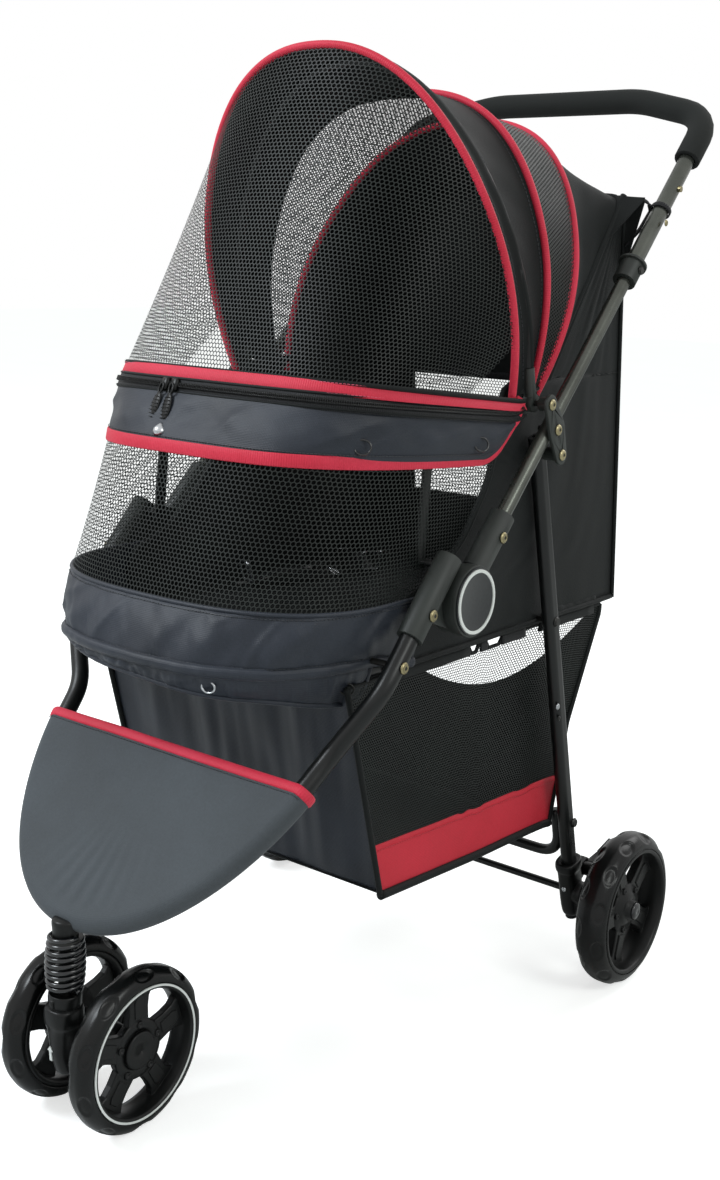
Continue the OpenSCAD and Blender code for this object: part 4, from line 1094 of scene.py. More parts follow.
def side_wall(sign):
    """Surface of one side wall, from its front edge to its rear edge."""
    front = even(rounded(WALL_FRONT, 14 * MM), 121)

    def fn(u, v):
        """Place at the share u of the length and v of the height."""
        f = on(front, v)
        z = back(f)[2]
        r = at(165, rear_y(z), z)
        p = f.lerp(r, u)
        n = noise.noise(Vector((u * 5.0 + v * 1.5, v * 3.2, 31.0 + sign)))
        n += 0.4 * noise.noise(Vector((u * 14, v * 6.0, 41.0)))
        p = p + Vector(((1.6 + 2.4 * n) * MM * math.sin(math.pi * clamp(u)) ** 0.5 - 2.0 * MM, 0, 0))
        return Vector((p.x * sign, p.y, p.z))
    return fn


for sign, side in ((1, "left"), (-1, "right")):
    fn = side_wall(sign)
    o = surface(f"side_wall_{side}", fn, 60, 70, BLACK_CLOTH, 1.3, at(0, 430, 560))
    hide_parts(f"side_panel_{side}")
    fold_down(o, *WALL_FOLD)
    edge = [fn(0.0, k / 90) for k in range(91)]
    hem = sweep(f"side_wall_hem_{side}", edge, Vector((sign, 0, 0)), circle(3.4, 10), BLACK_CLOTH)
    fold_down(hem, *WALL_FOLD)
    low = [fn(k / 60, 0.0) for k in range(61)]
    foot = sweep(f"side_wall_foot_{side}", low, Vector((sign, 0, 0)), circle(3.2, 10), BLACK_CLOTH)
    place(foot, "floor_frame")
    post = even([at(164.6 * sign, rear_y(z), z) for z in (412, 500, 600, 700, 800, 866)], 40)
    corner = sweep(f"rear_corner_binding_{side}", post, Vector((sign, 0, 0)), circle(2.6, 8), BLACK_CLOTH)
    fold_down(corner, *WALL_FOLD)
    declare(o)

WIN_X, WIN_LOW, WIN_HIGH = 118, 502, 656


def rear_wall(u, v):
    """Surface of the rear wall."""
    z = lerp(412, 866, v)
    x = lerp(163.5, -163.5, u)
    n = noise.noise(Vector((u * 4.0, v * 4.0, 51.0)))
    sag = math.sin(math.pi * clamp(u)) ** 0.6 * (2.2 + 2.6 * n)
    return at(x, rear_y(z) + sag * 0.5, z)


rear_cloth = surface("rear_wall_cloth", rear_wall, 66, 91, BLACK_CLOTH, 0, at(0, 430, 560))


def beyond_window(c):
    """Whether a place on the rear wall lies outside its window."""
    x, _, z = back(c)
    return not (abs(x) < WIN_X and WIN_LOW < z < WIN_HIGH)


trim(rear_cloth, beyond_window)
thicken(rear_cloth, 1.3)
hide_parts("rear_panel")
fold_down(rear_cloth, *WALL_FOLD)
win_low = [at(x, rear_y(WIN_LOW) + 1, WIN_LOW) for x in range(122, -123, -4)]
win_high = [at(x, rear_y(WIN_HIGH) + 1, WIN_HIGH) for x in range(122, -123, -4)]
rear_net = netted("rear_window_netting", win_low, win_high, 4.0, 0.77)
fold_down(rear_net, *WALL_FOLD)
frame_line = [at(WIN_X, rear_y(WIN_LOW) + 0.4, WIN_LOW), at(-WIN_X, rear_y(WIN_LOW) + 0.4, WIN_LOW),
              at(-WIN_X, rear_y(WIN_HIGH) + 0.4, WIN_HIGH), at(WIN_X, rear_y(WIN_HIGH) + 0.4, WIN_HIGH),
              at(WIN_X, rear_y(WIN_LOW) + 0.4, WIN_LOW)]
binding = sweep("rear_window_binding", even(frame_line, 161), Vector((0, 1, 0)), tape(9, 2.6), WEBBING)
fold_down(binding, *WALL_FOLD)
declare(rear_cloth)
declare(rear_net, (0.244, 0.154))

# sleeves and straps on the floor tube
for sign, side in ((1, "left"), (-1, "right")):
    bits = []
    for y0, y1, stuff in ((214, 342, BLACK_CLOTH), (362, 374, WEBBING), (402, 449, WEBBING), (478, 598, BLACK_CLOTH)):
        pts = [at(FLOOR_X * sign, lerp(y0, y1, q / 24), FLOOR_Z) for q in range(25)]
        ripple = (lambda f: 1 + 0.05 * math.sin(f * 40)) if stuff is BLACK_CLOTH else (lambda f: 1.0)
        bits.append(sweep("sleeve", pts, Vector((0, 0, 1)), circle(8.6, 16), stuff, scale=ripple))
        drop = [at(162.5 * sign, lerp(y0, y1, q / 8), 406) for q in range(9)]
        bits.append(sweep("drop", drop, Vector((sign, 0, 0)), [(-1, -4), (1, -4), (1.6, 7), (-1, 7)], stuff))
    place(join(f"floor_tube_sleeves_{side}", bits), "floor_frame")
pts = [at(x, 630, FLOOR_Z) for x in range(118, -119, -4)]
place(sweep("floor_tube_rear_sleeve", pts, Vector((0, 0, 1)), circle(8.6, 16), BLACK_CLOTH,
            scale=lambda f: 1 + 0.03 * math.sin(f * 60)), "floor_frame")

# ---------------------------------------------------------------- floor mat and tethers
def mat(u, v):
    """Thin quilted mat, round at the front like the floor tube."""
    y = lerp(58, 618, v)
    half = 146.0
    if y < 204:
        half = math.sqrt(max(149 ** 2 - (204 - y) ** 2, 0)) - 2
    x = lerp(half, -half, u)
    e = min(u, 1 - u) * 2 * max(half, 1)
    puff = 5.0 * (1 - math.exp(-e / 7)) * (1 - math.exp(-(y - 57) / 6)) * (1 - math.exp(-(619 - y) / 6))
    quilt = 1 - 0.5 * math.exp(-(((y - 58) % 70 - 35) / 3) ** 2)
    return at(x, y, 418.6 + puff * quilt)


mat_top = surface("floor_mat", mat, 56, 120, BLACK_CLOTH, 0, None)
settle(mat_top, solidify={"thickness": 0.0035, "offset": 1.0}, subsurf={"levels": 1, "render_levels": 1})
place(mat_top, "floor_frame")
for k, (x, y0, turn) in enumerate(((-123, 330, 0.31), (-66, 478, -0.95))):
    way = Vector((math.sin(turn), math.cos(turn), 0))
    base = at(x, y0, 426.5)
    strap = [base + way * s * MM + Vector((0, 0, (3 + 9 * math.sin(s / 34)) * MM)) for s in range(0, 110, 5)]
    bits = [sweep("tether", strap, Vector((0, 0, 1)), tape(13, 1.6), WEBBING)]
    c = strap[0] - way * 4 * MM + Vector((0, 0, 0.012))
    flat, lift = Vector((way.y, -way.x, 0)), Vector((0, 0, 0.94)) - way * 0.34
    square = [c + (flat * a + lift * b) * MM for a, b in ((-11, -12), (11, -12), (11, 12), (-11, 12), (-11, -12))]
    bits.append(sweep("buckle", even(rounded(square, 3 * MM), 60), way, circle(1.9, 8), BRIGHT))
    bits.append(ring_on("ring", strap[-1] + way * 9 * MM, Vector((0, 0.6, 0.8)), flat, 10, 1.4, BRIGHT))
    place(join(f"tether_{k + 1}", bits), "floor_frame")

# ---------------------------------------------------------------- basket
# Half width, height of the sides' top, and the y and z of the front wall's foot
BX, SIDE_TOP, BASKET_FRONT, BASKET_FRONT_Z = 162.0, 408.5, 207, 189
BASKET_Z_LOW = back(Vector((0, 0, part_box("basket")[0][2])))[2] + 10
BASKET_REAR = 523.8


def basket_front_y(z):
    """Where the front wall is at the height z."""
    return lerp(BASKET_FRONT, 141, clamp((z - BASKET_FRONT_Z) / 219.7))


def basket_low_z(y):
    """Height of the floor's side edge at y."""
    return lerp(BASKET_FRONT_Z, BASKET_Z_LOW, clamp((y - BASKET_FRONT) / (BASKET_REAR - BASKET_FRONT)))


def basket_rear_y(z):
    """Where the rear wall is at the height z: it leans out more above its middle."""
    if z < 281:
        return lerp(BASKET_REAR, 556, clamp((z - 158) / 123))
    return lerp(556, 616, clamp((z - 281) / 116))


def slack(y):
    """How far the basket's upper hem hangs below the tube between its straps."""
    return 7.0 * max(smooth((y - a) / 5) * smooth((b - y) / 5) for a, b in ((343, 361), (375, 401), (450, 477)))


def basket_side(sign, v0, v1):
    """One side of the basket between two shares of its height, each of them a function of u."""
    def fn(u, v):
        """Place at the share u of the length and v of the height."""
        w = lerp(v0(u), v1(u), v)
        top = lerp(143, 614, u)
        y_low = lerp(BASKET_FRONT + 1, BASKET_REAR - 1, u)
        z_low = basket_low_z(y_low)
        y = lerp(y_low, top, w)
        z = lerp(z_low, SIDE_TOP - 2 - slack(top), w)
        if u > 0.5:
            y = lerp(y, lerp(y_low, basket_rear_y(z), 1), smooth((u - 0.5) * 2))
        n = noise.noise(Vector((u * 6, w * 4, 61.0 + sign)))
        x = BX - 1.2 + 1.6 * n * math.sin(math.pi * clamp(u)) ** 0.5 * math.sin(math.pi * clamp(w)) ** 0.5
        return at(x * sign, y, z)
    return fn


def foot_edge(_):
    """Share of the basket's height at its lower edge."""
    return 0.0


def hem_edge(_):
    """Share of the basket's height at its upper hem."""
    return 1.0


def band_edge(u):
    """Share of the basket's height at the upper edge of its red band."""
    return lerp(0.245, 0.215, u)


for sign, side in ((1, "left"), (-1, "right")):
    upper = basket_side(sign, band_edge, hem_edge)
    low = [upper(i / 240, 0.0) - Vector((sign * 0.9 * MM, 0, 0)) for i in range(241)]
    high = [upper(i / 240, 1.0) for i in range(241)]
    net_o = netted(f"basket_netting_{side}", low, high, 3.0, 0.70)
    fold_down(net_o, *BASKET_FOLD)
    declare(net_o, (length(low), (low[120] - high[120]).length))
    band_fn = basket_side(sign, foot_edge, band_edge)
    band = surface(f"basket_band_{side}", band_fn, 60, 8, RED_CLOTH, 1.2, at(0, 380, 300))
    fold_down(band, *BASKET_FOLD)
    foot_line = [band_fn(i / 60, 0.0) for i in range(61)]
    whole = basket_side(sign, foot_edge, hem_edge)
    ends = [[whole(u, k / 40) for k in range(41)] for u in (0.0, 1.0)]
    for tag, pts, r in (("foot", foot_line, 4.6), ("front", ends[0], 3.0), ("back", ends[1], 3.0), ("top", high, 2.0)):
        b = sweep(f"basket_binding_{tag}_{side}", pts, Vector((sign, 0, 0)), circle(r, 10), BLACK_CLOTH)
        fold_down(b, *BASKET_FOLD)
    pts = [band_fn(lerp(0.01, 0.99, i / 120), 0.9) + Vector((sign * 1.0 * MM, 0, 0)) for i in range(121)]
    st = stitches(f"basket_stitches_{side}", pts, [Vector((sign, 0, 0))] * 121, BAND_THREAD, 4.0, 0.4)
    fold_down(st, *BASKET_FOLD)
    declare(band)


def basket_front(u, v):
    """Gathered front of the basket."""
    z = lerp(BASKET_FRONT_Z, 407, v)
    gather = math.sin(math.pi * clamp(v)) ** 0.4
    f = noise.noise(Vector((u * 8, v * 1.4, 71.0))) + 0.35 * noise.noise(Vector((u * 19 + v * 1.5, v * 1.6, 81.0)))
    x = lerp(BX - 1, -(BX - 1), u)
    return at(x, basket_front_y(z) + 3 - 9 * f * gather * math.sin(math.pi * clamp(u)) ** 0.5, z)


front_wall = surface("basket_front_cloth", basket_front, 150, 30, NAVY_CLOTH, 1.2, at(0, 400, 300))


def basket_floor(u, v):
    """Floor of the basket, sagging in its middle."""
    y = lerp(BASKET_FRONT + 1, BASKET_REAR - 2, v)
    sag = 4 * math.sin(math.pi * u) * math.sin(math.pi * v) - 1.5 * noise.noise(Vector((u * 5, v * 5, 91.0)))
    return at(lerp(BX - 2, -(BX - 2), u), y, basket_low_z(y) + 1.5 - sag)


bottom = surface("basket_floor_cloth", basket_floor, 40, 50, BLACK_CLOTH, 1.4, at(0, 400, 300))


def basket_back_top(x):
    """The back wall dips in a wide curve, so that things go in from behind."""
    return 403 - 113 * clamp(1 - (abs(x) / 157) ** 2.4)


def basket_back(u, v):
    """Rear of the basket, with its dipped upper edge."""
    x = lerp(BX - 2, -(BX - 2), u)
    z = lerp(BASKET_Z_LOW + 1, basket_back_top(x), v)
    n = noise.noise(Vector((u * 6, v * 3, 101.0)))
    return at(x, basket_rear_y(z) - 2 + 2.5 * n * math.sin(math.pi * clamp(u)) ** 0.5, z)


rear_wall_b = surface("basket_rear_cloth", basket_back, 80, 26, BLACK_CLOTH, 1.2, at(0, 400, 300))
lip = [basket_back(i / 100, 1.0) for i in range(101)]
lip_o = sweep("basket_rear_lip", lip, Vector((0, 1, 0)), circle(3.0, 10), BLACK_CLOTH)
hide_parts("basket")
for o in (front_wall, bottom, rear_wall_b, lip_o):
    fold_down(o, *BASKET_FOLD)
declare(front_wall)
declare(bottom)
declare(rear_wall_b)

# ---------------------------------------------------------------- apron on the front bow
HUB = Vector(back(pivot("fold_hinge"))[1:])
SLOPE = math.radians(48.3)
FRONT_DIR = Vector((math.cos(SLOPE), math.sin(SLOPE)))
FOOT = HUB + Vector((-FRONT_DIR.y, FRONT_DIR.x)) * 43.4
NOSE, BOW_START = Vector((-38, 201.5)), Vector((118, 348))
BOW_DEPTH = (BOW_START - NOSE).length
BOW_DIR = (BOW_START - NOSE) / BOW_DEPTH
BOW_X, TUBE_R = 162.0, 9.0
PLANE_UP = Vector((0, -BOW_DIR.y, BOW_DIR.x))


def bow(t):
    """Point of the bent front tube; t runs from 0 to pi, left to right."""
    q = BOW_DEPTH * power(math.sin(t), 1.25)
    return at(BOW_X * power(math.cos(t), 0.95), BOW_START.x - BOW_DIR.x * q, BOW_START.y - BOW_DIR.y * q)


def on_front(s, x=199.0):
    """Place on the straight part of the front tube, s millimetres up from its foot."""
    return at(x, FOOT.x + FRONT_DIR.x * s, FOOT.y + FRONT_DIR.y * s)


T0 = math.asin((38 / BOW_DEPTH) ** (1 / 1.25))
RIMLINE = even([bow(lerp(T0, math.pi - T0, i / 600)) for i in range(601)], 181)
MIDDLE = (RIMLINE[0] + RIMLINE[-1]) / 2 + PLANE_UP * 10.0 * MM


def apron(u, v):
    """Flat over the bow, then round the tube and under it."""
    o = on(RIMLINE, u)
    tangent = (on(RIMLINE, u + 0.004) - on(RIMLINE, u - 0.004)).normalized()
    n = tangent.cross(PLANE_UP).normalized()
    if n.dot(o - MIDDLE) < 0:
        n = -n
    r = TUBE_R + 1.0
    if v < 0.8:
        w = v / 0.8
        p = MIDDLE.lerp(o + PLANE_UP * r * MM, w)
        dip = -3.0 * math.sin(math.pi * w) * math.sin(math.pi * clamp(u)) ** 0.7
        dip += 1.6 * noise.noise(p * 11) * math.sin(math.pi * w)
        dip -= ((1.1 + 1.1 * math.sin(u * 170)) * math.exp(-((u - 0.5) / 0.11) ** 2)
                * smooth((w - 0.45) / 0.4) * smooth((1 - w) / 0.1))
        return p + PLANE_UP * dip * MM
    phi = (v - 0.8) / 0.2 * 3.75
    return o + (PLANE_UP * math.cos(phi) + n * math.sin(phi)) * r * MM


apron_cloth = surface("apron_cloth", apron, 180, 56, CHARCOAL_CLOTH, 0, None)
bm = bmesh.new()
bm.from_mesh(apron_cloth.data)
bmesh.ops.remove_doubles(bm, verts=bm.verts, dist=2e-5)
bm.to_mesh(apron_cloth.data)
bm.free()
up_side = sum((p.normal.dot(PLANE_UP) for p in apron_cloth.data.polygons if p.center.z > 0.24), 0.0)
if up_side < 0:
    apron_cloth.data.flip_normals()
settle(apron_cloth, solidify={"thickness": 0.0014, "offset": 1.0})
top_edge = [apron(0.0, v / 60) for v in range(60, 0, -1)] + [apron(0.0, 0.0)]
top_edge += [apron(1.0, v / 60) for v in range(1, 61)]
top_edge = [p for i, p in enumerate(top_edge) if i == 0 or (p - top_edge[i - 1]).length > 1e-4]
top_line = even(top_edge, 150)
edge_ups = []
for p in top_line:
    foot = RIMLINE[0] if p.x > 0 else RIMLINE[-1]
    edge_ups.append((p - foot).normalized() if (p - foot).length < 0.0125 else PLANE_UP)
apron_trim = sweep("apron_top_binding", [p + q * 0.7 * MM for p, q in zip(top_line, edge_ups)], edge_ups,
                   [(a, b - 2.2) for a, b in tape(10, 4.0)], RED_TAPE)
hem_line = [p + Vector((0, BOW_DIR.x, BOW_DIR.y)) * -9 * MM for p in top_line[12:-12]]
apron_seam = stitches("apron_stitches", hem_line, [PLANE_UP] * len(hem_line), BLACK_THREAD, 4.0, 1.7)
for o in (apron_trim, apron_seam):
    place(o, "front_frame")
place(apron_cloth, "front_frame", "front_cover")
area_a = sum(p.area for p in apron_cloth.data.polygons) / 2
clamp(area_a, LEAST_CUT * 0.395 * 0.235, 0.395 * 0.235)

# ---------------------------------------------------------------- bent tubes
arm = rounded([on_front(5), on_front(-128), bow(0.0)] + [bow(math.radians(22 + 5.44 * i)) for i in range(5)], 16 * MM)
half = even([p for p in arm], 60)
bend = [bow(math.radians(22 + 5.44 * 4 + i * (136 - 8 * 5.44) / 60)) for i in range(1, 60)]
other = [Vector((-p.x, p.y, p.z)) for p in reversed(half)]
front_line = even(half + bend + other, 200)
tube_o = sweep("front_tube_bent", front_line, PLANE_UP, circle(TUBE_R, 22), BLACK_TUBE)
place(tube_o, "front_frame", "front_tube")

REAR_LEG_TOP, REAR_AXLE = (418.9, 600.5), (560.0, 84.0)


def leg_y(z):
    """Where the rear legs are at the height z."""
    return lerp(REAR_LEG_TOP[0], REAR_AXLE[0], (REAR_LEG_TOP[1] - z) / (REAR_LEG_TOP[1] - REAR_AXLE[1]))


cross = [at(163, leg_y(182) + 5, 182), at(163, leg_y(124) + 5, 124), at(-163, leg_y(124) + 5, 124),
         at(-163, leg_y(182) + 5, 182)]
cross_o = sweep("cross_bar_bent", even(rounded(cross, 36 * MM, 12), 140), Vector((0, 1, 0.3)), circle(6.0, 18),
                BLACK_TUBE)
place(cross_o, "rear_legs", "rear_cross_bar")

# ---------------------------------------------------------------- wheels
def tyre(name, c, r, r_in, w, n_dimples, along, across):
    """Round foam tyre with a row of oval dimples on each shoulder, each deeper at one end."""
    k = w * 0.42
    mid_a = math.radians(38)
    bends = [math.pi / 2 * q / 14 for q in range(14, -1, -1)]
    arc = [Vector((r - k + k * math.cos(a), w / 2 - k + k * math.sin(a), 0)) for a in bends]
    side = [Vector((r_in, w / 2 - 0.6, 0)), Vector((r_in + 0.8, w / 2, 0))] + arc
    outline = side + [Vector((p.x, -p.y, 0)) for p in reversed(side)] + [side[0]]
    prof = even(outline, 77)[:-1]
    around = 384
    verts, uvs = [], []
    for i in range(around):
        a = TURN * i / around
        for j, p in enumerate(prof):
            rad, x = p.x, p.y
            s = 1 if x > 0 else -1
            out_r, out_x = rad - (r - k), abs(x) - (w / 2 - k)
            if out_r > 0 and out_x > 0:
                phase = (a / TURN * n_dimples + (0.0 if s > 0 else 0.5)) % 1.0 - 0.5
                du = phase * TURN * r / n_dimples / along
                dv = (math.atan2(out_x, out_r) - mid_a) * k / across
                e = math.hypot(du, dv)
                d = 2.6 * (1 - smooth((e - 0.78) / 0.26))
                d *= 1 - 0.55 * smooth((du + 0.9) / 1.6)
                size = math.hypot(out_r, out_x)
                rad -= d * out_r / size
                x -= s * d * out_x / size
            verts.append(c + Vector((x, math.cos(a) * rad, math.sin(a) * rad)) * MM)
            uvs.append((a * r * MM, j * 0.003))
    return outward(piece(name, verts, ring_faces(around, len(prof), True), EVA, uvs))


def prism(name, verts, material):
    """A flat-sided piece from the points of its two equal ends, one after the other."""
    n = len(verts) // 2
    faces = [tuple(range(n)), tuple(range(2 * n - 1, n - 1, -1))]
    faces += [(i, (i + 1) % n, n + (i + 1) % n, n + i) for i in range(n)]
    return outward(piece(name, verts, faces, material, shade=False))


def slab(name, outline, x0, x1, c, turn, material):
    """A flat shape, its outline given as (out, across), between two planes across the wheel's axis."""
    ca, sa = math.cos(turn), math.sin(turn)
    verts = []
    for x in (x0, x1):
        for o_, a_ in outline:
            verts.append(c + Vector((x, o_ * ca - a_ * sa, o_ * sa + a_ * ca)) * MM)
    return prism(name, verts, material)


def rim(name, c, r, w, out, hub_in, first, disc):
    """Five wide spokes between a lipped rim and a long hub; out is the side that faces away from the frame.
    The front wheels have a flat disc over the hub and a white printed ring round the rim."""
    bits = []
    lip = [(r, -w / 2 + 1), (r, w / 2 - 1), (r - 1.6, w / 2 + 0.4), (r - 4.2, w / 2 + 0.2), (r - 5.4, w / 2 - 2.2),
           (r - 6.2, w * 0.30),
           (r - 7.2, w * 0.22), (r - 7.2, -w * 0.24), (r - 5.4, -w / 2 + 1.5), (r - 3.0, -w / 2 + 0.4)]
    bits.append(revolve("lip", [(q, x * out) for q, x in lip], c, BLACK_NYLON, 128))
    for i in range(5):
        a = math.radians(first + 72 * i)
        half = [(16, 9), (24.5, 12.6), (38, 11.6), (r - 16, 12.4), (r - 6.6, 17.5)]
        spoke = [(q, -v) for q, v in half] + [(q, v) for q, v in reversed(half)]
        s = slab("spoke", spoke, -w * 0.18 * out, w * 0.13 * out, c, a, BLACK_NYLON)
        settle(s, bevel={"width": 0.0018, "segments": 3})
        bits.append(s)
        panel = [(30, -5.6), (r - 17, -6.8), (r - 12, -4.5), (r - 12, 4.5), (r - 17, 6.8), (30, 5.6)]
        g = slab("panel", panel, w * 0.12 * out, w * 0.17 * out, c, a, BLACK_NYLON)
        settle(g, bevel={"width": 0.0009, "segments": 2})
        bits.append(g)
        p = c + Vector((0, math.cos(a) * 24, math.sin(a) * 24)) * MM
        pin = [(0.2, w * 0.12), (3.6, w * 0.12), (3.6, w * 0.19), (2.9, w * 0.215), (1.8, w * 0.215), (1.5, w * 0.17),
               (0.2, w * 0.17)]
        bits.append(revolve("pin", [(q, x * out) for q, x in pin], p, BLACK_NYLON, 14))
    hub = [(4.2, -w / 2 - hub_in), (12.4, -w / 2 - hub_in), (13, -w / 2 - hub_in + 0.8), (13, -w * 0.2),
           (27, -w * 0.19), (28, -w * 0.1),
           (28, w * 0.10), (27, w * 0.145)]
    if disc:
        hub += [(19.6, w * 0.16), (18.6, w * 0.13), (4.2, w * 0.13)]
        cap = [(0.2, w * 0.12), (17.6, w * 0.12), (17.6, w * 0.23), (16.6, w * 0.26), (15.2, w * 0.265),
               (0.2, w * 0.265)]
    else:
        hub += [(19.4, w * 0.17), (17.0, w * 0.24), (14.0, w * 0.26), (11.0, w * 0.28), (10, w * 0.42), (4.2, w * 0.42)]
        cap = [(0.2, w * 0.41), (9.6, w * 0.41), (9.6, w * 0.47), (8.6, w * 0.51), (5.0, w * 0.53), (0.2, w * 0.54)]
    bits.append(revolve("hub", [(q, x * out) for q, x in hub], c, BLACK_NYLON, 72))
    bits.append(revolve("cap", [(q, x * out) for q, x in cap], c, BLACK_NYLON if disc else GLOSS_ABS, 56))
    if disc:
        line = [(r - 0.6, w / 2 - 0.6), (r - 0.6, w / 2 + 0.75), (r - 1.0, w / 2 + 0.9), (r - 2.2, w / 2 + 0.85),
                (r - 2.6, w / 2 + 0.5), (r - 2.6, w / 2 - 0.6)]
        bits.append(revolve("line", [(q, x * out) for q, x in line], c, WHITE_PRINT, 128))
    return join(name, bits)


# Outer radius, radius inside the tyre, and width
REAR_R, REAR_SEAT, REAR_W = 84, 69.9, 36
FRONT_R, FRONT_SEAT, FRONT_W = 76, 63.5, 28
for side, sign in (("left", 1), ("right", -1)):
    c = pivot(f"rear_wheel_{side}_spin")
    wheel = f"rear_wheel_{side}"
    place(tyre(f"rear_tyre_foam_{side}", c, REAR_R, REAR_SEAT, REAR_W, 12, 12.5, 7.8), wheel, f"rear_tyre_{side}")
    place(rim(f"rear_wheel_rim_{side}", c, REAR_SEAT - 0.1, REAR_W, sign, 29, 40, False), wheel, f"rear_rim_{side}")
    c = pivot(f"front_wheel_{side}_spin")
    wheel = f"front_wheel_{side}"
    place(tyre(f"front_tyre_foam_{side}", c, FRONT_R, FRONT_SEAT, FRONT_W, 10, 11.5, 6.6), wheel, f"front_tyre_{side}")
    place(rim(f"front_wheel_rim_{side}", c, FRONT_SEAT - 0.1, FRONT_W, sign, 2.5, 17, True), wheel, f"front_rim_{side}")

# ---------------------------------------------------------------- caster
STEM_Y, SPRING_LOW, SPRING_TOP = -45.0, 132.6, 185.0


def ring_at(cy, cz, hx, hy, tilt=0.0, k=28, sharp=2.4):
    """One rounded cross-section of a moulded part."""
    out = []
    for i in range(k):
        a = TURN * i / k
        x, y = hx * power(math.cos(a), 2 / sharp), hy * power(math.sin(a), 2 / sharp)
        out.append(at(x, cy + y * math.cos(tilt), cz + y * math.sin(tilt)))
    return out


def loft(name, rings, material, levels=1):
    """Smooth solid through a row of cross-sections."""
    k = len(rings[0])
    verts = [v for r in rings for v in r]
    faces = ring_faces(len(rings), k) + end_faces(len(rings), k)
    o = outward(piece(name, verts, faces, material))
    return settle(o, subsurf={"levels": levels, "render_levels": levels}) if levels else o


legs = []
legs.append(loft("cup", [ring_at(STEM_Y, z, r, r, 0, 32, 2.0) for z, r in (
    (118, 14.5), (119, 15.3), (130, 15.6), (132.2, 15.2), (132.6, 14.0), (130.5, 12.6), (129.5, 8))], BLACK_NYLON, 1))
legs.append(loft("blade", [ring_at(y, z, hx, hy, 0, 32, 2.6) for y, z, hx, hy in (
    (-46, 120.4, 12.0, 13), (-46, 120.0, 15.0, 16), (-46, 118, 16.4, 17.2), (-46, 107, 16.6, 17.4),
    (-45.6, 103.4, 15.8, 16.8),
    (-45, 101, 13.4, 16.0), (-42, 92, 12.8, 18.0), (-36, 84, 12.2, 23.0), (-29.5, 75, 11.6, 29.0),
    (-29, 66, 11.0, 27.0),
    (-33, 58, 10.2, 20.0), (-35, 54.4, 9.0, 16.0), (-35, 53.6, 6.5, 11.0))], BLACK_NYLON, 1))
barrel = [(4.3, -26.6), (12.0, -26.6), (12.9, -25.6), (13, -14), (13.8, -10), (13.8, 10), (13, 14), (12.9, 25.6),
          (12.0, 26.6), (4.3, 26.6)]
legs.append(revolve("barrel", barrel, at(0, 0, FRONT_R), BLACK_NYLON, 56))
legs.append(loft("hook", [ring_at(-45 - 13.6 - dy, 127 + dz, 3.4 - 0.3 * i, 2.4 - 0.2 * i, 0, 16, 2.4)
                          for i, (dy, dz) in enumerate(((0.0, -6), (1.6, -4), (2.2, 0), (1.4, 3)))], BLACK_NYLON, 1))
arrow = [(0, 7.6), (3.6, 2.6), (1.5, 2.6), (1.5, -7.0), (-1.5, -7.0), (-1.5, 2.6), (-3.6, 2.6)]
verts = []
for lift in (-1.2, 0.25):
    for a, b in arrow:
        z = 76.5 + b
        front = lerp(-57.4, -59.6, (z - 66) / 21)
        verts.append(at(-3.6 + a, front - lift, z))
legs.append(prism("arrow", verts, WHITE_PRINT))
place(join("fork_moulding", legs), "fork", "fork")
rod = [(0.2, -51.6), (4.0, -51.6), (4.0, 51.6), (0.2, 51.6)]
place(revolve("front_axle_rod", rod, at(0, 0, FRONT_R), SHANK, 24), "fork", "front_axle")

turns = 9
coil = []
for i in range(turns * 28 + 1):
    a = TURN * i / 28
    f = i / (turns * 28)
    rise = lerp(SPRING_LOW + 2.6, SPRING_TOP + 1.5, f + 0.006 * math.sin(f * 23))
    wide = 13.4 + 3.2 * math.sin(math.pi * clamp(f * 0.92 + 0.06)) ** 0.6
    coil.append(at(wide * math.cos(a), STEM_Y + wide * math.sin(a), rise + 0.5 * math.cos(a)))
spring = sweep("spring_coil", coil, Vector((0, 0, 1)), circle(2.2, 12), GLOSS_ABS)
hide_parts("spring")
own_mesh(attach(spring, "swivel"))
sock = loft("stem_cap", [ring_at(STEM_Y, z, r, r, 0, 32, 2.0) for z, r in (
    (180.6, 8), (180.8, 11.0), (182, 11.6), (190, 11.9), (195, 12.4), (199, 13.0), (202, 12.0), (203, 8))],
    BLACK_NYLON, 1)
place(sock, "front_frame", "stem_socket")

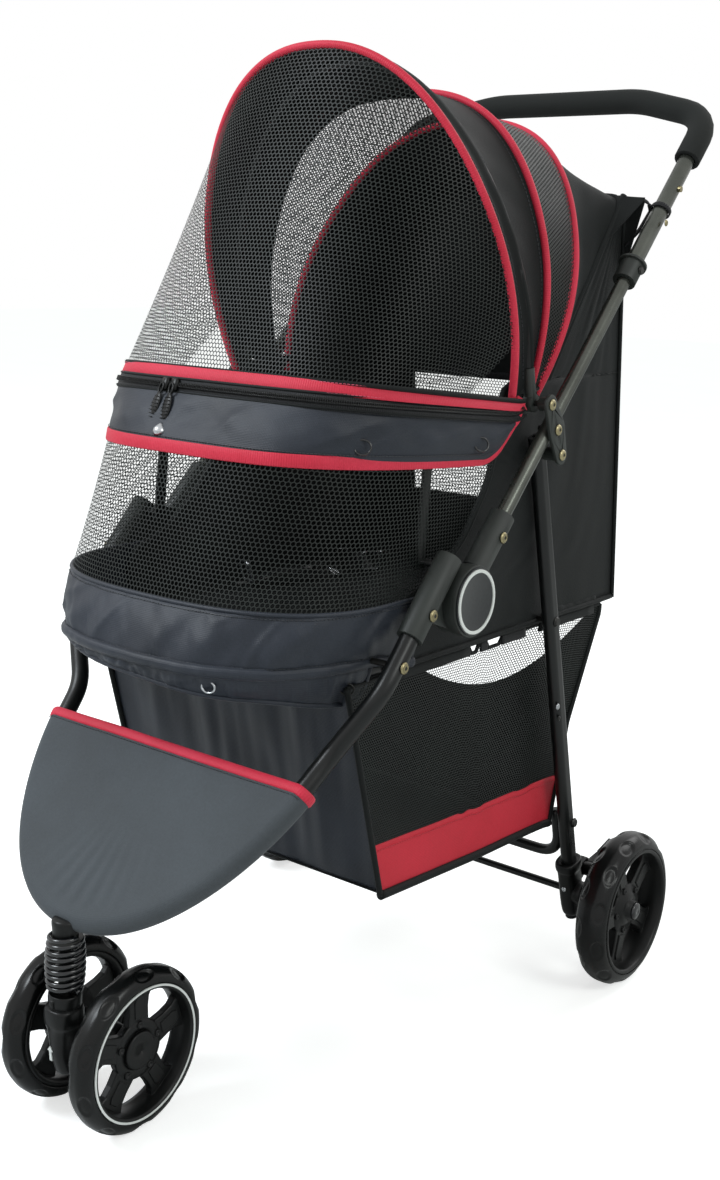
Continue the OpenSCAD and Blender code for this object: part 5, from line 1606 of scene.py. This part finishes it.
# ---------------------------------------------------------------- feet on the rear legs
LEG_DIR = Vector((0, REAR_AXLE[0] - REAR_LEG_TOP[0], REAR_AXLE[1] - REAR_LEG_TOP[1])).normalized()
LEG_SIDE = LEG_DIR.cross(Vector((1, 0, 0)))
FOOT_X = 177.0
feet = []
for sign in (1, -1):
    base = at(FOOT_X * sign, *REAR_AXLE)
    rings = []
    for down, hx, hy in ((-41, 8.6, 11.4), (-42, 10.6, 13.6), (-41.4, 12.6, 15.6), (-39, 13.2, 16.2),
                         (-33, 13.2, 16.2), (-30.6, 12.2, 15.2),
                         (-29, 10.9, 14.2), (-8, 10.9, 14.6), (8, 10.9, 14.6), (20, 10.4, 13.8), (26, 9.6, 12.8),
                         (29, 7.6, 10.4), (30, 4.5, 6.5)):
        ring = []
        for i in range(32):
            q = TURN * i / 32
            ring.append(base + (LEG_DIR * down + Vector((power(math.cos(q), 0.72) * hx, 0, 0)) + LEG_SIDE
                                * power(math.sin(q), 0.72) * hy) * MM)
        rings.append(ring)
    feet.append(loft("socket", rings, BLACK_NYLON, 1))
    boss = [(7.0, 6), (12.4, 6), (13, 7), (13, 16.4), (12.0, 17.6), (7.0, 17.6)]
    feet.append(revolve("boss", [(r, x * sign) for r, x in boss], base, BLACK_NYLON, 40))
    plate = [(6, -14), (40, 12), (43, 16), (43, 24), (38, 27), (12, 20), (6, 12)]
    s = slab("pedal_ear", plate, -10.4 * sign, -1.6 * sign, base, 0.0, BLACK_NYLON)
    settle(s, bevel={"width": 0.0012, "segments": 2})
    feet.append(s)
place(join("leg_feet", feet), "rear_legs", "axle_feet")

# ---------------------------------------------------------------- rivet heads
def head_template():
    """Domed head with a cross recess: twelve sides, its foot on the origin."""
    bm = bmesh.new()
    rings = ((5.9, 0.0), (5.9, 0.7), (5.2, 1.6), (3.8, 2.3), (2.2, 2.6))
    rows = [[bm.verts.new((r * math.cos(math.pi * j / 6) * MM, r * math.sin(math.pi * j / 6) * MM, z * MM))
             for j in range(12)] for r, z in rings]
    for a, b in zip(rows, rows[1:]):
        for j in range(12):
            bm.faces.new((a[j], a[(j + 1) % 12], b[(j + 1) % 12], b[j]))
    pit = [bm.verts.new(((1.1 if j % 3 else 2.0) * math.cos(math.pi * j / 6) * MM,
                         (1.1 if j % 3 else 2.0) * math.sin(math.pi * j / 6) * MM, 1.3 * MM))
           for j in range(12)]
    for j in range(12):
        bm.faces.new((rows[-1][j], rows[-1][(j + 1) % 12], pit[(j + 1) % 12], pit[j]))
    bm.faces.new(pit)
    bm.faces.new(list(reversed(rows[0])))
    me = bpy.data.meshes.new("rivet_head")
    bm.to_mesh(me)
    bm.free()
    me.shade_smooth()
    return into_scene("rivet_head", me)


HEAD = head_template()
HANDLE_DIR = Vector((math.cos(math.radians(45.7)), math.sin(math.radians(45.7))))


def on_handle(s):
    """Side-view place on the handle tube's centre line, s millimetres up from the hub."""
    return tuple(HUB + HANDLE_DIR * s)


def heads(name, spots, body, finish=BRASSY, way=(1, 0, 0)):
    """The same head on both sides of the part; way is where the left one faces."""
    me = bpy.data.meshes.new(name)
    pts, axes, sizes = [], [], []
    for x, y, z, size in spots:
        for sign in (1, -1):
            pts.append(tuple(at(sign * x, y, z)))
            axes.append((sign * way[0], way[1], way[2]))
            sizes.append(size)
    me.from_pydata(pts, [], [])
    me.attributes.new("axis", "FLOAT_VECTOR", "POINT")
    me.attributes.new("size", "FLOAT", "POINT")
    for i in range(len(pts)):
        me.attributes["axis"].data[i].vector = axes[i]
        me.attributes["size"].data[i].value = sizes[i]
    o = into_scene(name, me)
    run_tree(o, HEADS, Head=HEAD, Finish=finish)
    place(o, body)


heads("handle_rivet_heads", [(211.8, *on_handle(74), 0.98), (211.3, *on_handle(209), 0.98), (211.3, 418.9, 600.5, 0.98),
                             (211.3, *back(pivot("canopy_rear_hinge"))[1:], 0.98)], "handle")
heads("front_rivet_heads", [(211.8, *back(on_front(-44))[1:], 0.98), (208.3, *back(on_front(-100))[1:], 0.98)],
      "front_frame")
heads("handle_upper_rivets", [(212.6, *on_handle(503), 0.62)], "handle")
heads("leg_buttons", [(186.2, 486, 319, 0.62)], "rear_legs", BRIGHT)
heads("leg_lower_rivets", [(186.4, 490, 305, 0.5)], "rear_legs", SHANK)
heads("foot_rivets", [(FOOT_X, leg_y(90) - 15.2, 90, 0.5)], "rear_legs", BRIGHT, (0, -1, 0))
heads("leg_rivet_heads", [(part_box("leg_screws")[1][0] / MM - 2.2, *back(pivot("floor_hinge"))[1:], 0.7)], "rear_legs")
bpy.data.objects.remove(HEAD)

# ------------------------------------------------ loops that hold the canopy's rear corners to the handle
for sign, side in ((1, "left"), (-1, "right")):
    y, z = on_handle(522)
    axis = Vector((0, *HANDLE_DIR))
    c = at(199 * sign, y, z)
    e1, e2 = Vector((1, 0, 0)), axis.cross(Vector((1, 0, 0)))
    turn = [c + (e1 * math.cos(q) + e2 * math.sin(q)) * 10.6 * MM for q in [TURN * i / 32 for i in range(33)]]
    bits = [sweep("hug", turn, [(p - c).normalized() for p in turn], tape(6, 1.8), WEBBING, ends=False)]
    for inner in (at(184 * sign, 612, 862), at(166 * sign, 611, 812)):
        link_pts = even(rounded([inner, inner.lerp(c, 0.4), c - Vector((sign * 11.2 * MM, 0, 0))], 8 * MM), 24)
        bits.append(sweep("link", link_pts, Vector((0, -0.6, 0.8)), tape(6, 2.2), WEBBING))
    sewn = [at(164.2 * sign, y_, z_) for y_, z_ in ((566, 812), (607, 869), (613, 772))]
    sewn = even(rounded(sewn, 5 * MM), 41)
    tip = at(188 * sign, 613, 864)

    def tab(u, v):
        """Corner of the cloth drawn out towards the handle, hollow between its sewn edge and its tip."""
        p = on(sewn, v).lerp(tip, 0.94 * u)
        return p - Vector((sign * 5 * MM * math.sin(math.pi * u), 0, 0)) * math.sin(math.pi * clamp(v))

    bits.append(surface("tab", tab, 12, 40, BLACK_CLOTH, 1.2, at(120 * sign, 560, 800)))
    place(join(f"canopy_loop_{side}", bits), "handle")


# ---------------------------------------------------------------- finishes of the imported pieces
# Radii of the printed ring on the hub discs, in metres
RING_INNER, RING_OUTER = 0.0274, 0.0306


def cap_finish():
    """Polished black disc with a white printed ring near its rim."""
    m, t = new_material("hub_disc_black_white_ring")
    where = add(t, "ShaderNodeTexCoord").outputs["Object"]
    split = add(t, "ShaderNodeSeparateXYZ", {"Vector": where})
    hub = pivot("fold_hinge")
    squares = []
    for side, middle in (("Y", hub.y), ("Z", hub.z)):
        off = add(t, "ShaderNodeMath", {0: split.outputs[side], 1: middle}, operation="SUBTRACT").outputs[0]
        squares.append(add(t, "ShaderNodeMath", {0: off, 1: 2.0}, operation="POWER").outputs[0])
    total = add(t, "ShaderNodeMath", {0: squares[0], 1: squares[1]}, operation="ADD").outputs[0]
    r = add(t, "ShaderNodeMath", {0: total, 1: 0.5}, operation="POWER").outputs[0]
    inside = add(t, "ShaderNodeMath", {0: r, 1: RING_INNER}, operation="GREATER_THAN").outputs[0]
    outside = add(t, "ShaderNodeMath", {0: r, 1: RING_OUTER}, operation="LESS_THAN").outputs[0]
    band = add(t, "ShaderNodeMath", {0: inside, 1: outside}, operation="MULTIPLY").outputs[0]
    fine = add(t, "ShaderNodeTexNoise", {"Vector": where, "Scale": 420.0, "Detail": 2.0}).outputs["Fac"]
    disc = add(t, "ShaderNodeValToRGB", {"Fac": fine},
               stops=((0.35, tone("#16181A")), (0.65, tone("#202325")))).outputs["Color"]
    colour = add(t, "ShaderNodeMix", {"Factor": band, 6: disc, 7: tone("#DCDEDB")}, data_type="RGBA").outputs[2]
    bump = add(t, "ShaderNodeBump", {"Height": fine, "Strength": 0.12, "Distance": 0.0003}).outputs[0]
    shader = add(t, "ShaderNodeBsdfPrincipled", {"Base Color": colour, "Roughness": 0.38, "Normal": bump})
    add(t, "ShaderNodeOutputMaterial", {"Surface": shader.outputs[0]})
    return m


FINISH = {
    BLACK_TUBE: ("rear_leg_left", "rear_leg_right", "floor_tube", "belt_rail", "belt_struts", "main_bow", "rear_axle"),
    GREY_TUBE: ("handle_tube_left", "handle_tube_right", "handle_bow"),
    NYLON: ("side_brackets", "hub_upper_left", "hub_upper_right", "hub_lower_left", "hub_lower_right",
            "handle_collars", "canopy_arms"),
    BLACK_NYLON: ("brake_pedal_left", "brake_pedal_right", "floor_board", "rear_bow"),
    GRIP_FOAM: ("handle_grip",),
    SHANK: ("leg_screws", "handle_screws", "front_screws", "swivel_stem"),
    BRASSY: ("handle_button_left", "handle_button_right"),
    cap_finish(): ("hub_caps",),
}
SOFT_EDGE = {"brake_pedal_left": 0.8, "brake_pedal_right": 0.8, "side_brackets": 0.8, "hub_upper_left": 1.0,
             "hub_upper_right": 1.0, "hub_lower_left": 0.9, "hub_lower_right": 0.9, "hub_caps": 0.3,
             "handle_collars": 0.6, "belt_struts": 0.4, "canopy_arms": 0.6, "handle_grip": 1.5}
for material, names in FINISH.items():
    for n in names:
        o = NODES[n]
        o.data.materials.clear()
        o.data.materials.append(material)
for n, o in NODES.items():
    if o.hide_render:
        continue
    m = o.modifiers.new("weld", "WELD")
    m.merge_threshold = 0.00002
    if n in SOFT_EDGE:
        b = o.modifiers.new("bevel", "BEVEL")
        b.width, b.segments, b.limit_method, b.angle_limit = SOFT_EDGE[n] * MM, 2, "ANGLE", math.radians(32)
    e = o.modifiers.new("split", "EDGE_SPLIT")
    e.split_angle = math.radians(34)
    o.data.shade_smooth()
